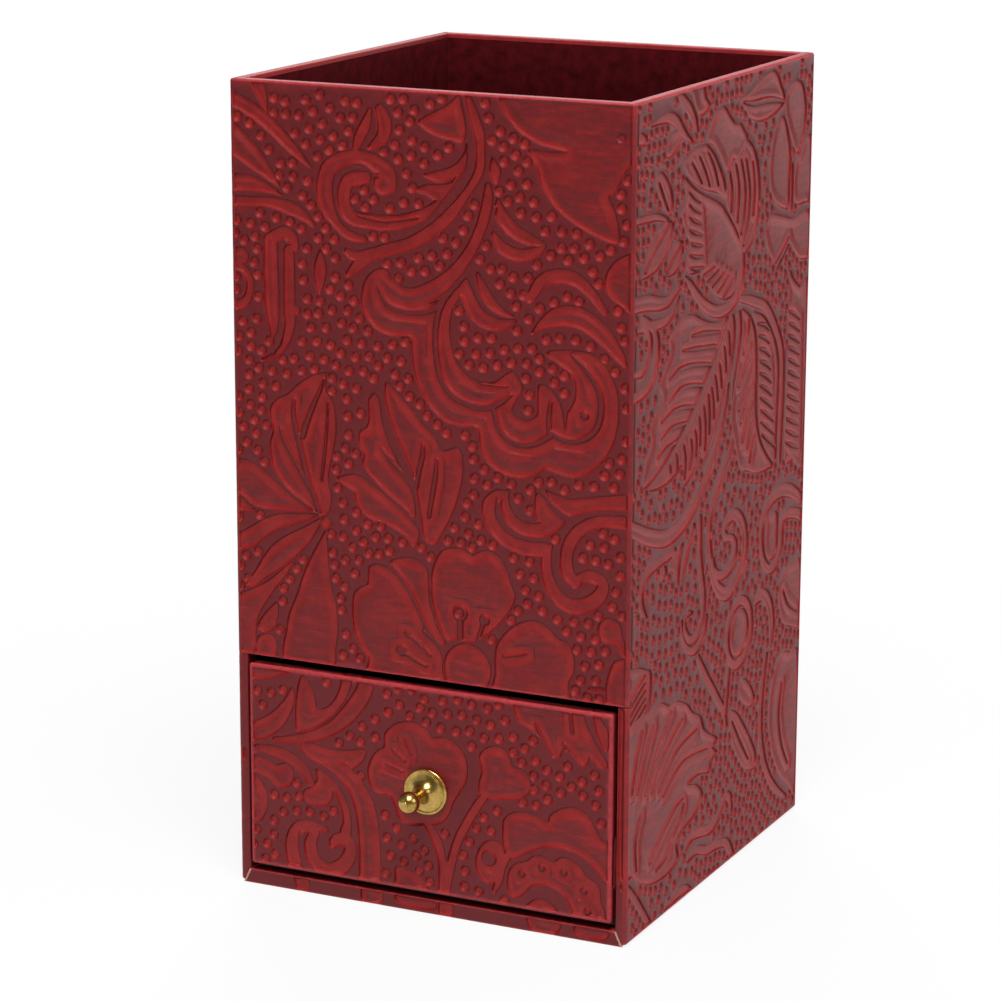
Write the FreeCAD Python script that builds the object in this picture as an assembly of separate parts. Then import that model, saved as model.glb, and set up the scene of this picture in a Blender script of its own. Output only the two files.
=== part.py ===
import FreeCAD, Part
import math
import os

# A pen stand: an open box of greyboard over one drawer, covered in leather-look sheet.
# Millimetres. +Z is up, the drawer opens towards -Y, and the origin is the centre of the
# underside. Every sheet is modelled at its real thickness and folded as a box maker folds it.

# --- Whole box, measured over its covering ---
WIDTH = 94.0
DEPTH = 102.0
HEIGHT = 180.0

# --- Boards ---
WALL_BOARD = 1.75
BASE_BOARD = 2.2
DIVIDER_BOARD = 1.75
DRAWER_FACE_BOARD = 2.0
TRAY_BOARD = 1.5

# --- Sheets and papers ---
COVER_SHEET = 0.4
LINING_PAPER = 0.25
BAY_PAPER = 0.25
TRAY_PAPER = 0.2

# --- Folds ---
CORNER_RADIUS = 1.0
RIM_RADIUS = 0.6
FOOT_RADIUS = 0.7
FOLD_RADIUS = 0.35
RIM_TURN_IN = 12.0
BASE_TURN_IN = 14.0
BAY_TURN_IN = 13.0
LINING_REVEAL = 1.0
BAY_PAPER_SETBACK = 3.2
BASE_SHEET_INSET = 1.2

# --- Drawer face in its opening ---
OPENING_HEIGHT = 50.0
FACE_SIDE_GAP = 0.7
FACE_END_GAP = 1.7
FACE_PROUD = 0.8
FACE_EDGE_RADIUS = 0.7
FACE_TURN_IN = 11.0

# --- Tray behind the face ---
TRAY_HEIGHT = 45.0
TRAY_SIDE_GAP = 0.4
TRAY_FLOOR_GAP = 0.3
TRAY_BACK_GAP = 0.3
TRAY_CORNER_RADIUS = 0.8
TRAY_RIM_RADIUS = 0.3
TRAY_TURN_IN = 9.0
TRAY_LINING_REVEAL = 1.0

# --- Turned brass knob, its stud, washer and nut ---
FOOT_DISC_RADIUS = 5.2
FOOT_DISC_EDGE = 0.8
NECK_RADIUS = 1.3
NECK_START = 4.3
BALL_RADIUS = 2.4
BALL_CENTRE = 8.3
TIP_RADIUS = 0.9
TIP_LENGTH = 10.75
STUD_RADIUS = 1.5
STUD_END = 0.7
STUD_CLEARANCE = 0.1
NUT_ACROSS_FLATS = 5.5
NUT_HEIGHT = 2.4
NUT_BORE_CLEARANCE = 0.05
NUT_CHAMFER_ANGLE = 30.0
WASHER_RADIUS = 3.5
WASHER_THICKNESS = 0.5

# --- Levels, from the underside up ---
base_bottom = 2 * COVER_SHEET
base_top = base_bottom + BASE_BOARD
opening_bottom = base_top + COVER_SHEET
opening_top = opening_bottom + OPENING_HEIGHT
divider_bottom = opening_top + COVER_SHEET
divider_top = divider_bottom + DIVIDER_BOARD
board_top = HEIGHT - COVER_SHEET

# --- Faces of the walls, as distances from the box's middle planes ---
outer_x = WIDTH / 2
outer_y = DEPTH / 2
board_out_x = outer_x - COVER_SHEET
board_out_y = outer_y - COVER_SHEET
board_in_x = board_out_x - WALL_BOARD
board_in_y = board_out_y - WALL_BOARD
turned_x = board_in_x - COVER_SHEET
turned_y = board_in_y - COVER_SHEET
bay_turn_in_end = BAY_TURN_IN - outer_y

# --- Drawer face ---
face_half_width = turned_x - FACE_SIDE_GAP
face_bottom = opening_bottom + FACE_END_GAP
face_top = opening_top - FACE_END_GAP
face_front = -outer_y - FACE_PROUD
face_back = face_front + DRAWER_FACE_BOARD + 2 * COVER_SHEET
knob_height = (face_bottom + face_top) / 2

# --- Tray ---
tray_half_width = turned_x - BAY_PAPER - TRAY_SIDE_GAP
tray_back = board_in_y - BAY_PAPER - TRAY_BACK_GAP
tray_bottom = opening_bottom + BAY_PAPER + TRAY_FLOOR_GAP
tray_top = tray_bottom + TRAY_HEIGHT
tray_floor = tray_bottom + TRAY_PAPER + TRAY_BOARD
tray_wall_in_x = tray_half_width - TRAY_PAPER - TRAY_BOARD
tray_wall_in_front = face_back + TRAY_PAPER + TRAY_BOARD
tray_wall_in_back = tray_back - TRAY_PAPER - TRAY_BOARD
tray_board_corner = TRAY_CORNER_RADIUS - TRAY_PAPER

PAST = 1.0  # how far a cutting shape runs past the face it opens


def block(x, y, z):
    """A box from three (low, high) pairs."""
    corner = FreeCAD.Vector(x[0], y[0], z[0])
    return Part.makeBox(x[1] - x[0], y[1] - y[0], z[1] - z[0], corner)


def both(half):
    return (-half, half)


def grown(span, low, high):
    """A (low, high) pair with its ends moved outwards; negative values move them in."""
    return (span[0] - low, span[1] + high)


def prism_up(outline, z):
    """A plan outline of (x, y) points raised between two levels."""
    points = [FreeCAD.Vector(px, py, z[0]) for px, py in outline]
    face = Part.Face(Part.makePolygon(points + points[:1]))
    return face.extrude(FreeCAD.Vector(0, 0, z[1] - z[0]))


def prism_back(outline, y):
    """A front-view outline of (x, z) points carried back between two depths."""
    points = [FreeCAD.Vector(px, y[0], pz) for px, pz in outline]
    face = Part.Face(Part.makePolygon(points + points[:1]))
    return face.extrude(FreeCAD.Vector(0, y[1] - y[0], 0))


def edges_where(shape, test):
    """The edges whose every end and middle point passes the test."""
    found = []
    for edge in shape.Edges:
        middle = edge.valueAt((edge.FirstParameter + edge.LastParameter) / 2)
        points = [vertex.Point for vertex in edge.Vertexes] + [middle]
        if all(test(point) for point in points):
            found.append(edge)
    return found


def near(value, target):
    return abs(value - target) < 1e-6


def upright_edges(shape, side=None):
    """A shape's upright edges, or only those that lie at a distance from its middle plane."""
    upright = [e for e in shape.Edges if not near(e.Vertexes[0].Z, e.Vertexes[1].Z)]
    if side is None:
        return upright
    return [e for e in upright if near(abs(e.Vertexes[0].X), side)]


def rounded_block(x, y, z, corner, top=0.0, foot=0.0):
    """A box with rounded upright corners and, where asked, rounded top and foot edges."""
    shape = block(x, y, z)
    shape = shape.makeFillet(corner, upright_edges(shape))
    if top:
        shape = shape.makeFillet(top, edges_where(shape, lambda p: near(p.z, z[1])))
    if foot:
        shape = shape.makeFillet(foot, edges_where(shape, lambda p: near(p.z, z[0])))
    return shape


def joined(first, *others):
    """Solids fused into one, with the faces that continue each other merged."""
    return first.fuse(list(others)).removeSplitter()


def rim_ring(wall_x, wall_y, sheet, turn_in, rim):
    """The strip of a covering sheet that is turned down inside a box's rim."""
    ring = block(wall_x, wall_y, (rim - turn_in, rim - sheet))
    hollow = block(
        grown(wall_x, -sheet, -sheet),
        grown(wall_y, -sheet, -sheet),
        (rim - turn_in - PAST, rim + PAST),
    )
    return ring.cut(hollow), hollow


def covering(outside, core, wall_x, wall_y, sheet, turn_in, rim):
    """A sheet over the outside of a box of boards and turned down inside its rim."""
    ring, mouth = rim_ring(wall_x, wall_y, sheet, turn_in, rim)
    skin = joined(outside.cut(core).cut(mouth), ring)
    inner_x = grown(wall_x, -sheet, -sheet)
    inner_y = grown(wall_y, -sheet, -sheet)

    def on_mouth(p):
        inside = inner_x[0] - 0.01 < p.x < inner_x[1] + 0.01
        inside = inside and inner_y[0] - 0.01 < p.y < inner_y[1] + 0.01
        return inside and near(p.z, rim)

    return skin.makeFillet(sheet * 0.9, edges_where(skin, on_mouth))


def wall_lining(wall_x, wall_y, floor, turn_in_end, top, turned, paper, with_floor):
    """Paper on a box's inner walls, stepped in where it runs up over the turned-in sheet."""
    upper_x = grown(wall_x, -turned, -turned)
    upper_y = grown(wall_y, -turned, -turned)
    outside = joined(
        block(wall_x, wall_y, (floor, turn_in_end)),
        block(upper_x, upper_y, (turn_in_end, top)),
    )
    hollow_floor = floor + paper if with_floor else floor - PAST
    hollow = joined(
        block(
            grown(wall_x, -paper, -paper),
            grown(wall_y, -paper, -paper),
            (hollow_floor, turn_in_end - paper),
        ),
        block(
            grown(upper_x, -paper, -paper),
            grown(upper_y, -paper, -paper),
            (turn_in_end - paper, top + PAST),
        ),
    )
    return outside.cut(hollow)


# ---------------------------------------------------------------- boards of the carcass

def side_board(side):
    """One full-height side wall; its front edge is the stile beside the drawer."""
    x = (board_in_x, board_out_x) if side > 0 else (-board_out_x, -board_in_x)
    shape = block(x, both(board_out_y), (base_bottom, board_top))
    return shape.makeFillet(CORNER_RADIUS - COVER_SHEET, upright_edges(shape, board_out_x))


def back_board():
    return block(both(board_in_x), (board_in_y, board_out_y), (base_bottom, board_top))


def front_board():
    """The wall in front of the well; it stops above the drawer opening."""
    return block(both(board_in_x), (-board_out_y, -board_in_y), (divider_bottom, board_top))


def base_board():
    """The bottom of the drawer bay; its front edge carries the sill."""
    return block(both(board_in_x), (-board_out_y, board_in_y), (base_bottom, base_top))


def divider_board():
    """The floor of the pen well, which is also the roof of the drawer bay."""
    return block(both(board_in_x), both(board_in_y), (divider_bottom, divider_top))


# ------------------------------------------------------------- covering of the carcass

sill_end_x = outer_x - BASE_SHEET_INSET
under_x = board_out_x - BASE_TURN_IN
under_y = board_out_y - BASE_TURN_IN


def sill_outline():
    """The front strip below the opening, mitred from the opening's corners to the feet."""
    return [
        (-sill_end_x, 0.0),
        (sill_end_x, 0.0),
        (turned_x, opening_bottom),
        (-turned_x, opening_bottom),
    ]


def box_skin():
    """The whole outer skin before it is divided into its two sheets."""
    outside = rounded_block(
        both(outer_x), both(outer_y), (COVER_SHEET, HEIGHT), CORNER_RADIUS, RIM_RADIUS, FOOT_RADIUS
    )
    core = rounded_block(
        both(board_out_x), both(board_out_y), (base_bottom, board_top), CORNER_RADIUS - COVER_SHEET
    )
    skin = covering(
        outside, core, both(board_in_x), both(board_in_y), COVER_SHEET, RIM_TURN_IN, HEIGHT
    )
    front_layer = (-outer_y - PAST, -board_out_y)
    opening = block(both(turned_x), front_layer, (opening_bottom, opening_top))
    sill = prism_back(sill_outline(), front_layer)
    underside = block(both(under_x), (-outer_y - PAST, under_y), (0.0, base_bottom))
    return skin.cut([opening, sill, underside])


def front_sheet_zone():
    """Everything that belongs to the front sheet: its face, corner folds and mitred rim."""
    seam_y = -outer_y + CORNER_RADIUS
    half = [(outer_x + PAST, -outer_y - PAST), (outer_x + PAST, seam_y), (outer_x, seam_y)]
    half += [(board_in_x, -board_in_y), (turned_x, -turned_y)]
    outline = half + [(-x, y) for x, y in reversed(half)]
    return prism_up(outline, (opening_top, HEIGHT + PAST))


def front_wrap(skin):
    """The sheet on the well's front, folded under the front board onto the divider."""
    face = skin.common(front_sheet_zone())
    under_fold = block(
        both(turned_x), (-board_out_y, bay_turn_in_end), (opening_top, divider_bottom)
    )
    return joined(face, under_fold)


def side_wrap(skin):
    """One sheet round left, back and right, folded round both stiles into the bay."""
    sheet = skin.cut(front_sheet_zone())
    depth = (-board_out_y, bay_turn_in_end)
    height = (base_top, divider_bottom)
    right_fold = block((turned_x, board_in_x), depth, height)
    left_fold = block((-board_in_x, -turned_x), depth, height)
    sheet = joined(sheet, right_fold, left_fold)

    def on_stile(p):
        upright = opening_bottom - 0.01 < p.z < opening_top + 0.01
        return near(abs(p.x), turned_x) and near(p.y, -outer_y) and upright

    return sheet.makeFillet(FOLD_RADIUS, edges_where(sheet, on_stile))


def base_sheet():
    """The sheet under the base, folded up over the sill and back into the bay."""
    plate = block(both(sill_end_x), (-outer_y, outer_y - BASE_SHEET_INSET), (0.0, COVER_SHEET))
    middle = block(both(under_x), (-outer_y, under_y), (COVER_SHEET, base_bottom))
    sill = prism_back(sill_outline(), (-outer_y, -board_out_y))
    bay_fold = block(both(turned_x), (-board_out_y, bay_turn_in_end), (base_top, opening_bottom))
    sheet = joined(plate, middle, sill, bay_fold)
    front_foot = edges_where(sheet, lambda p: near(p.y, -outer_y) and near(p.z, 0.0))
    return sheet.makeFillet(FOLD_RADIUS, front_foot)


# -------------------------------------------------------------------- linings, carcass

def well_lining():
    return wall_lining(
        both(board_in_x),
        both(board_in_y),
        divider_top,
        HEIGHT - RIM_TURN_IN,
        HEIGHT - LINING_REVEAL,
        COVER_SHEET,
        LINING_PAPER,
        with_floor=False,
    )


def well_floor_lining():
    inside_x = both(board_in_x - LINING_PAPER)
    inside_y = both(board_in_y - LINING_PAPER)
    return block(inside_x, inside_y, (divider_top, divider_top + LINING_PAPER))


def bay_lining():
    """Paper tube with a closed back, stepped in over the sheets folded into the opening."""
    deep_z = (base_top, divider_bottom)
    mouth_z = (opening_bottom, opening_top)
    mouth_y = (BAY_PAPER_SETBACK - outer_y, bay_turn_in_end)
    outside = joined(
        block(both(board_in_x), (bay_turn_in_end, board_in_y), deep_z),
        block(both(turned_x), mouth_y, mouth_z),
    )
    hollow = joined(
        block(
            both(board_in_x - BAY_PAPER),
            (bay_turn_in_end + BAY_PAPER, board_in_y - BAY_PAPER),
            grown(deep_z, -BAY_PAPER, -BAY_PAPER),
        ),
        block(
            both(turned_x - BAY_PAPER),
            grown(mouth_y, PAST, BAY_PAPER),
            grown(mouth_z, -BAY_PAPER, -BAY_PAPER),
        ),
    )
    return outside.cut(hollow)


# ------------------------------------------------------------------------------ drawer

def stud_hole():
    """The hole through the drawer face and the tray's front wall."""
    start = FreeCAD.Vector(0, face_front - PAST, knob_height)
    length = tray_wall_in_front + LINING_PAPER - face_front + 2 * PAST
    return Part.makeCylinder(
        STUD_RADIUS + STUD_CLEARANCE, length, start, FreeCAD.Vector(0, 1, 0)
    )


def drawer_front_board():
    board = block(
        both(face_half_width - COVER_SHEET),
        (face_front + COVER_SHEET, face_back - COVER_SHEET),
        (face_bottom + COVER_SHEET, face_top - COVER_SHEET),
    )
    return board.cut(stud_hole())


def drawer_front_wrap():
    """The embossed sheet on the drawer face, turned round its four edges to the back."""
    x = both(face_half_width)
    y = (face_front, face_back)
    z = (face_bottom, face_top)
    outside = block(x, y, z)
    soft = edges_where(outside, lambda p: near(p.y, face_front))
    outside = outside.makeFillet(FACE_EDGE_RADIUS, soft)
    core = block(*[grown(span, -COVER_SHEET, -COVER_SHEET) for span in (x, y, z)])
    back = block(
        grown(x, -FACE_TURN_IN, -FACE_TURN_IN),
        (face_back - COVER_SHEET, face_back + PAST),
        grown(z, -FACE_TURN_IN, -FACE_TURN_IN),
    )
    return outside.cut([core, back, stud_hole()])


def tray_side_board(side):
    x = (tray_wall_in_x, tray_half_width - TRAY_PAPER)
    if side < 0:
        x = (-x[1], -x[0])
    y = (face_back + TRAY_PAPER, tray_back - TRAY_PAPER)
    shape = block(x, y, (tray_bottom + TRAY_PAPER, tray_top - TRAY_PAPER))
    outside = tray_half_width - TRAY_PAPER
    return shape.makeFillet(tray_board_corner, upright_edges(shape, outside))


def tray_end_board(y):
    """The front or back wall of the tray, which stands between the side boards."""
    return block(both(tray_wall_in_x), y, (tray_bottom + TRAY_PAPER, tray_top - TRAY_PAPER))


def tray_front_board():
    return tray_end_board((face_back + TRAY_PAPER, tray_wall_in_front)).cut(stud_hole())


def tray_back_board():
    return tray_end_board((tray_wall_in_back, tray_back - TRAY_PAPER))


def tray_base_board():
    y = (tray_wall_in_front, tray_wall_in_back)
    return block(both(tray_wall_in_x), y, (tray_bottom + TRAY_PAPER, tray_floor))


def tray_wrap():
    """One paper over the tray's bottom and four walls, turned down inside its rim."""
    x = both(tray_half_width)
    y = (face_back, tray_back)
    z = (tray_bottom, tray_top)
    outside = rounded_block(x, y, z, TRAY_CORNER_RADIUS, TRAY_RIM_RADIUS)
    core_spans = [grown(span, -TRAY_PAPER, -TRAY_PAPER) for span in (x, y, z)]
    core = rounded_block(*core_spans, tray_board_corner)
    skin = covering(
        outside,
        core,
        both(tray_wall_in_x),
        (tray_wall_in_front, tray_wall_in_back),
        TRAY_PAPER,
        TRAY_TURN_IN,
        tray_top,
    )
    return skin.cut(stud_hole())


def tray_lining():
    paper = wall_lining(
        both(tray_wall_in_x),
        (tray_wall_in_front, tray_wall_in_back),
        tray_floor,
        tray_top - TRAY_TURN_IN,
        tray_top - TRAY_LINING_REVEAL,
        TRAY_PAPER,
        LINING_PAPER,
        with_floor=True,
    )
    return paper.cut(stud_hole())


# -------------------------------------------------------------------------------- knob

stud_seat = tray_wall_in_front + LINING_PAPER
nut_seat = stud_seat + WASHER_THICKNESS


def on_knob(radius, reach):
    """A point of the knob's half outline: distance from its axis, distance off the face."""
    return FreeCAD.Vector(radius, face_front - reach, knob_height)


def arc(start, middle, end):
    return Part.Arc(on_knob(*start), on_knob(*middle), on_knob(*end)).toShape()


def line(start, end):
    return Part.makeLine(on_knob(*start), on_knob(*end))


def knob():
    """One turned piece: stud, rounded foot disc, trumpet, neck, ball and flat tip."""
    edge = FOOT_DISC_EDGE / 2
    rim = FOOT_DISC_RADIUS - edge
    half = math.sqrt(0.5)
    dish = (rim - edge, FOOT_DISC_EDGE * 0.8)
    flare = (NECK_RADIUS + (dish[0] - NECK_RADIUS) * 0.28, dish[1] + (NECK_START - dish[1]) * 0.28)
    ball_start = BALL_CENTRE - math.sqrt(BALL_RADIUS**2 - NECK_RADIUS**2)
    ball_end = BALL_CENTRE + math.sqrt(BALL_RADIUS**2 - TIP_RADIUS**2)
    stud_reach = face_front - (nut_seat + NUT_HEIGHT + STUD_END)
    outline = [
        line((0.0, stud_reach), (STUD_RADIUS, stud_reach)),
        line((STUD_RADIUS, stud_reach), (STUD_RADIUS, 0.0)),
        line((STUD_RADIUS, 0.0), (rim, 0.0)),
        arc((rim, 0.0), (rim + edge, edge), (rim, FOOT_DISC_EDGE)),
        arc((rim, FOOT_DISC_EDGE), (rim - edge * half, dish[1] + edge * 0.1), dish),
        arc(dish, flare, (NECK_RADIUS, NECK_START)),
        line((NECK_RADIUS, NECK_START), (NECK_RADIUS, ball_start)),
        arc((NECK_RADIUS, ball_start), (BALL_RADIUS, BALL_CENTRE), (TIP_RADIUS, ball_end)),
        line((TIP_RADIUS, ball_end), (TIP_RADIUS, TIP_LENGTH)),
        line((TIP_RADIUS, TIP_LENGTH), (0.0, TIP_LENGTH)),
        line((0.0, TIP_LENGTH), (0.0, stud_reach)),
    ]
    profile = Part.Face(Part.Wire(outline))
    axis_point = on_knob(0.0, 0.0)
    return profile.revolve(axis_point, FreeCAD.Vector(0, 1, 0), 360)


def ring_on_stud(radius, bore, seat, thickness):
    """A round piece with a hole, threaded on the stud against a seat."""
    start = FreeCAD.Vector(0, seat, knob_height)
    along = FreeCAD.Vector(0, 1, 0)
    disc = Part.makeCylinder(radius, thickness, start, along)
    return disc.cut(Part.makeCylinder(bore, thickness, start, along))


def knob_washer():
    return ring_on_stud(WASHER_RADIUS, STUD_RADIUS + STUD_CLEARANCE, stud_seat, WASHER_THICKNESS)


def knob_nut():
    """A hexagon nut whose six outer corners are turned off at its free face."""
    corner = NUT_ACROSS_FLATS / math.sqrt(3)
    turned = NUT_ACROSS_FLATS / 2
    drop = (corner - turned) * math.tan(math.radians(NUT_CHAMFER_ANGLE))
    points = []
    for index in range(7):
        turn = math.radians(60 * index)
        offset = FreeCAD.Vector(corner * math.cos(turn), 0, corner * math.sin(turn))
        points.append(FreeCAD.Vector(0, nut_seat, knob_height) + offset)
    hexagon = Part.Face(Part.makePolygon(points)).extrude(FreeCAD.Vector(0, NUT_HEIGHT, 0))
    along = FreeCAD.Vector(0, 1, 0)
    straight = NUT_HEIGHT - drop
    barrel = Part.makeCylinder(corner, straight, FreeCAD.Vector(0, nut_seat, knob_height), along)
    crown_start = FreeCAD.Vector(0, nut_seat + straight, knob_height)
    crown = Part.makeCone(corner, turned, drop, crown_start, along)
    bore = Part.makeCylinder(
        STUD_RADIUS + NUT_BORE_CLEARANCE,
        NUT_HEIGHT + 2 * PAST,
        FreeCAD.Vector(0, nut_seat - PAST, knob_height),
        along,
    )
    return hexagon.common(joined(barrel, crown)).cut(bore)


# ----------------------------------------------------------------------------- pieces

def pieces():
    skin = box_skin()
    return {
        "base_board": base_board(),
        "left_board": side_board(-1),
        "right_board": side_board(1),
        "back_board": back_board(),
        "front_board": front_board(),
        "divider_board": divider_board(),
        "front_wrap": front_wrap(skin),
        "side_wrap": side_wrap(skin),
        "base_sheet": base_sheet(),
        "well_lining": well_lining(),
        "well_floor_lining": well_floor_lining(),
        "bay_lining": bay_lining(),
        "drawer_front_board": drawer_front_board(),
        "drawer_front_wrap": drawer_front_wrap(),
        "tray_left_board": tray_side_board(-1),
        "tray_right_board": tray_side_board(1),
        "tray_front_board": tray_front_board(),
        "tray_back_board": tray_back_board(),
        "tray_base_board": tray_base_board(),
        "tray_wrap": tray_wrap(),
        "tray_lining": tray_lining(),
        "knob": knob(),
        "knob_washer": knob_washer(),
        "knob_nut": knob_nut(),
    }


os.makedirs("parts", exist_ok=True)
for name, shape in pieces().items():
    solids = shape.Solids
    print(f"{name:20s} solids {len(solids)} valid {shape.isValid()} volume {shape.Volume:9.2f}")
    solids[0].exportStep(f"parts/{name}.step")
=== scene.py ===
# %% [markdown]
# # A pen stand with one drawer, dressed in embossed leather-look sheet
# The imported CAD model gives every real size. This notebook folds an embossed sheet round that
# model, turns the brass knob, and lights the result on a pale table. The embossing could be a
# texture, but its shadows and its highlights come from a real surface 0.35 mm deep, so here it
# is geometry: a drawing of the pattern becomes a height field, and the height field is folded.

import math

import bmesh
import bpy
import numpy as np
from mathutils import Matrix, Vector


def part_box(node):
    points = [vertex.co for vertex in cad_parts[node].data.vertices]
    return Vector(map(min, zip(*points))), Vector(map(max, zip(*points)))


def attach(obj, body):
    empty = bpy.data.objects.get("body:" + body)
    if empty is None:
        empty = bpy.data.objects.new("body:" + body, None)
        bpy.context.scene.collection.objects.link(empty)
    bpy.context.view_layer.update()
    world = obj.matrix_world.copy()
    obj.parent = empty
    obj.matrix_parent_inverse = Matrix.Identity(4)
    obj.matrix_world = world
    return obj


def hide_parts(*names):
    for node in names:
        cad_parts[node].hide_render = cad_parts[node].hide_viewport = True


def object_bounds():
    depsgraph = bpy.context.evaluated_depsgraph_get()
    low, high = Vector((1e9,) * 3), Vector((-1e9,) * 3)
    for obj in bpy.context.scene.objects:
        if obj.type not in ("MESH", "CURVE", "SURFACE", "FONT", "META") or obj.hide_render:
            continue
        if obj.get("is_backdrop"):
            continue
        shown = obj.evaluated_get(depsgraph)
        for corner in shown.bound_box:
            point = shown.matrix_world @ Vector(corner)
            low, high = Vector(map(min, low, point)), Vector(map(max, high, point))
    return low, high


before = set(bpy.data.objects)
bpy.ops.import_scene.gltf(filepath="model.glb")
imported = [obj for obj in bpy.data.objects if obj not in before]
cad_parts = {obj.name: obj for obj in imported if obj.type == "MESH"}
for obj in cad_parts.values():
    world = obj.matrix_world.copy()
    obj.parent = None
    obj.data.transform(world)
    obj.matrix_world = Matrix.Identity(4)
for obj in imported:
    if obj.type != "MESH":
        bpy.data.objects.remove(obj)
cad_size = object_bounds()
MM = 0.001

# %% [markdown]
# ## Sizes
# Every plane that the sheets meet is read from the frame in millimetres, so a change of the
# CAD model carries through. The fold radii and turn-ins repeat the values of the CAD source.

# %% Read the planes of the box from the frame


def node_box(node):
    """Lowest and highest corner of a CAD node in millimetres, to the nearest micrometre."""
    low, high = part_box(node)
    return [round(v / MM, 3) for v in low], [round(v / MM, 3) for v in high]


side_low, side_high = node_box("side_wrap")
base_high = node_box("base_sheet")[1]
front_low, front_high = node_box("front_wrap")
board_low, board_high = node_box("front_board")
face_low, face_high = node_box("drawer_front_wrap")
knob_high = node_box("knob")[1]

HALF_WIDTH = side_high[0]
HALF_DEPTH = side_high[1]
HEIGHT = side_high[2]
SHEET_BOTTOM = side_low[2]
SHEET = round(HALF_DEPTH + board_low[1], 3)
TURNED_IN = round(HALF_WIDTH - board_high[0] + SHEET, 3)
BAY_HALF = HALF_WIDTH - TURNED_IN
OPENING_TOP = front_low[2]
OPENING_FLOOR = base_high[2]
BAY_TURN_IN = round(front_high[1] + HALF_DEPTH, 3)
FACE_HALF = face_high[0]
FACE_FRONT = face_low[1]
FACE_THICK = round(face_high[1] - face_low[1], 3)
KNOB_LEVEL = (face_low[2] + face_high[2]) / 2

CORNER = 1.0
RIM_OUTER = 0.6
RIM_INNER = 0.36
FOOT = 0.7
STILE_FOLD = 0.35
LIP_FOLD = 0.25
FACE_EDGE = 0.7
RIM_TURN_IN = 12.0
BASE_TURN_IN = 14.4
FACE_TURN_IN = 11.0
print("outside", 2 * HALF_WIDTH, 2 * HALF_DEPTH, HEIGHT, "sheet", SHEET, "opening", OPENING_TOP)

# %% [markdown]
# ## The tooled pattern
# The real sheet is pressed by an engraved roller: leaves, scrolls and pebbles are sunk, and the
# ground and the veins stay high. The drawing is kept as words and points in millimetres. `press`
# is a tapering stroke, `area` a closed smooth shape, `ridge` a vein left standing, `boss` and
# `pit` are round, and `combN` fans N veins from one line to another. Each point of a stroke ends
# with its half-width. Later words win, as they do when a tooler works over an earlier line.

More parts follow.
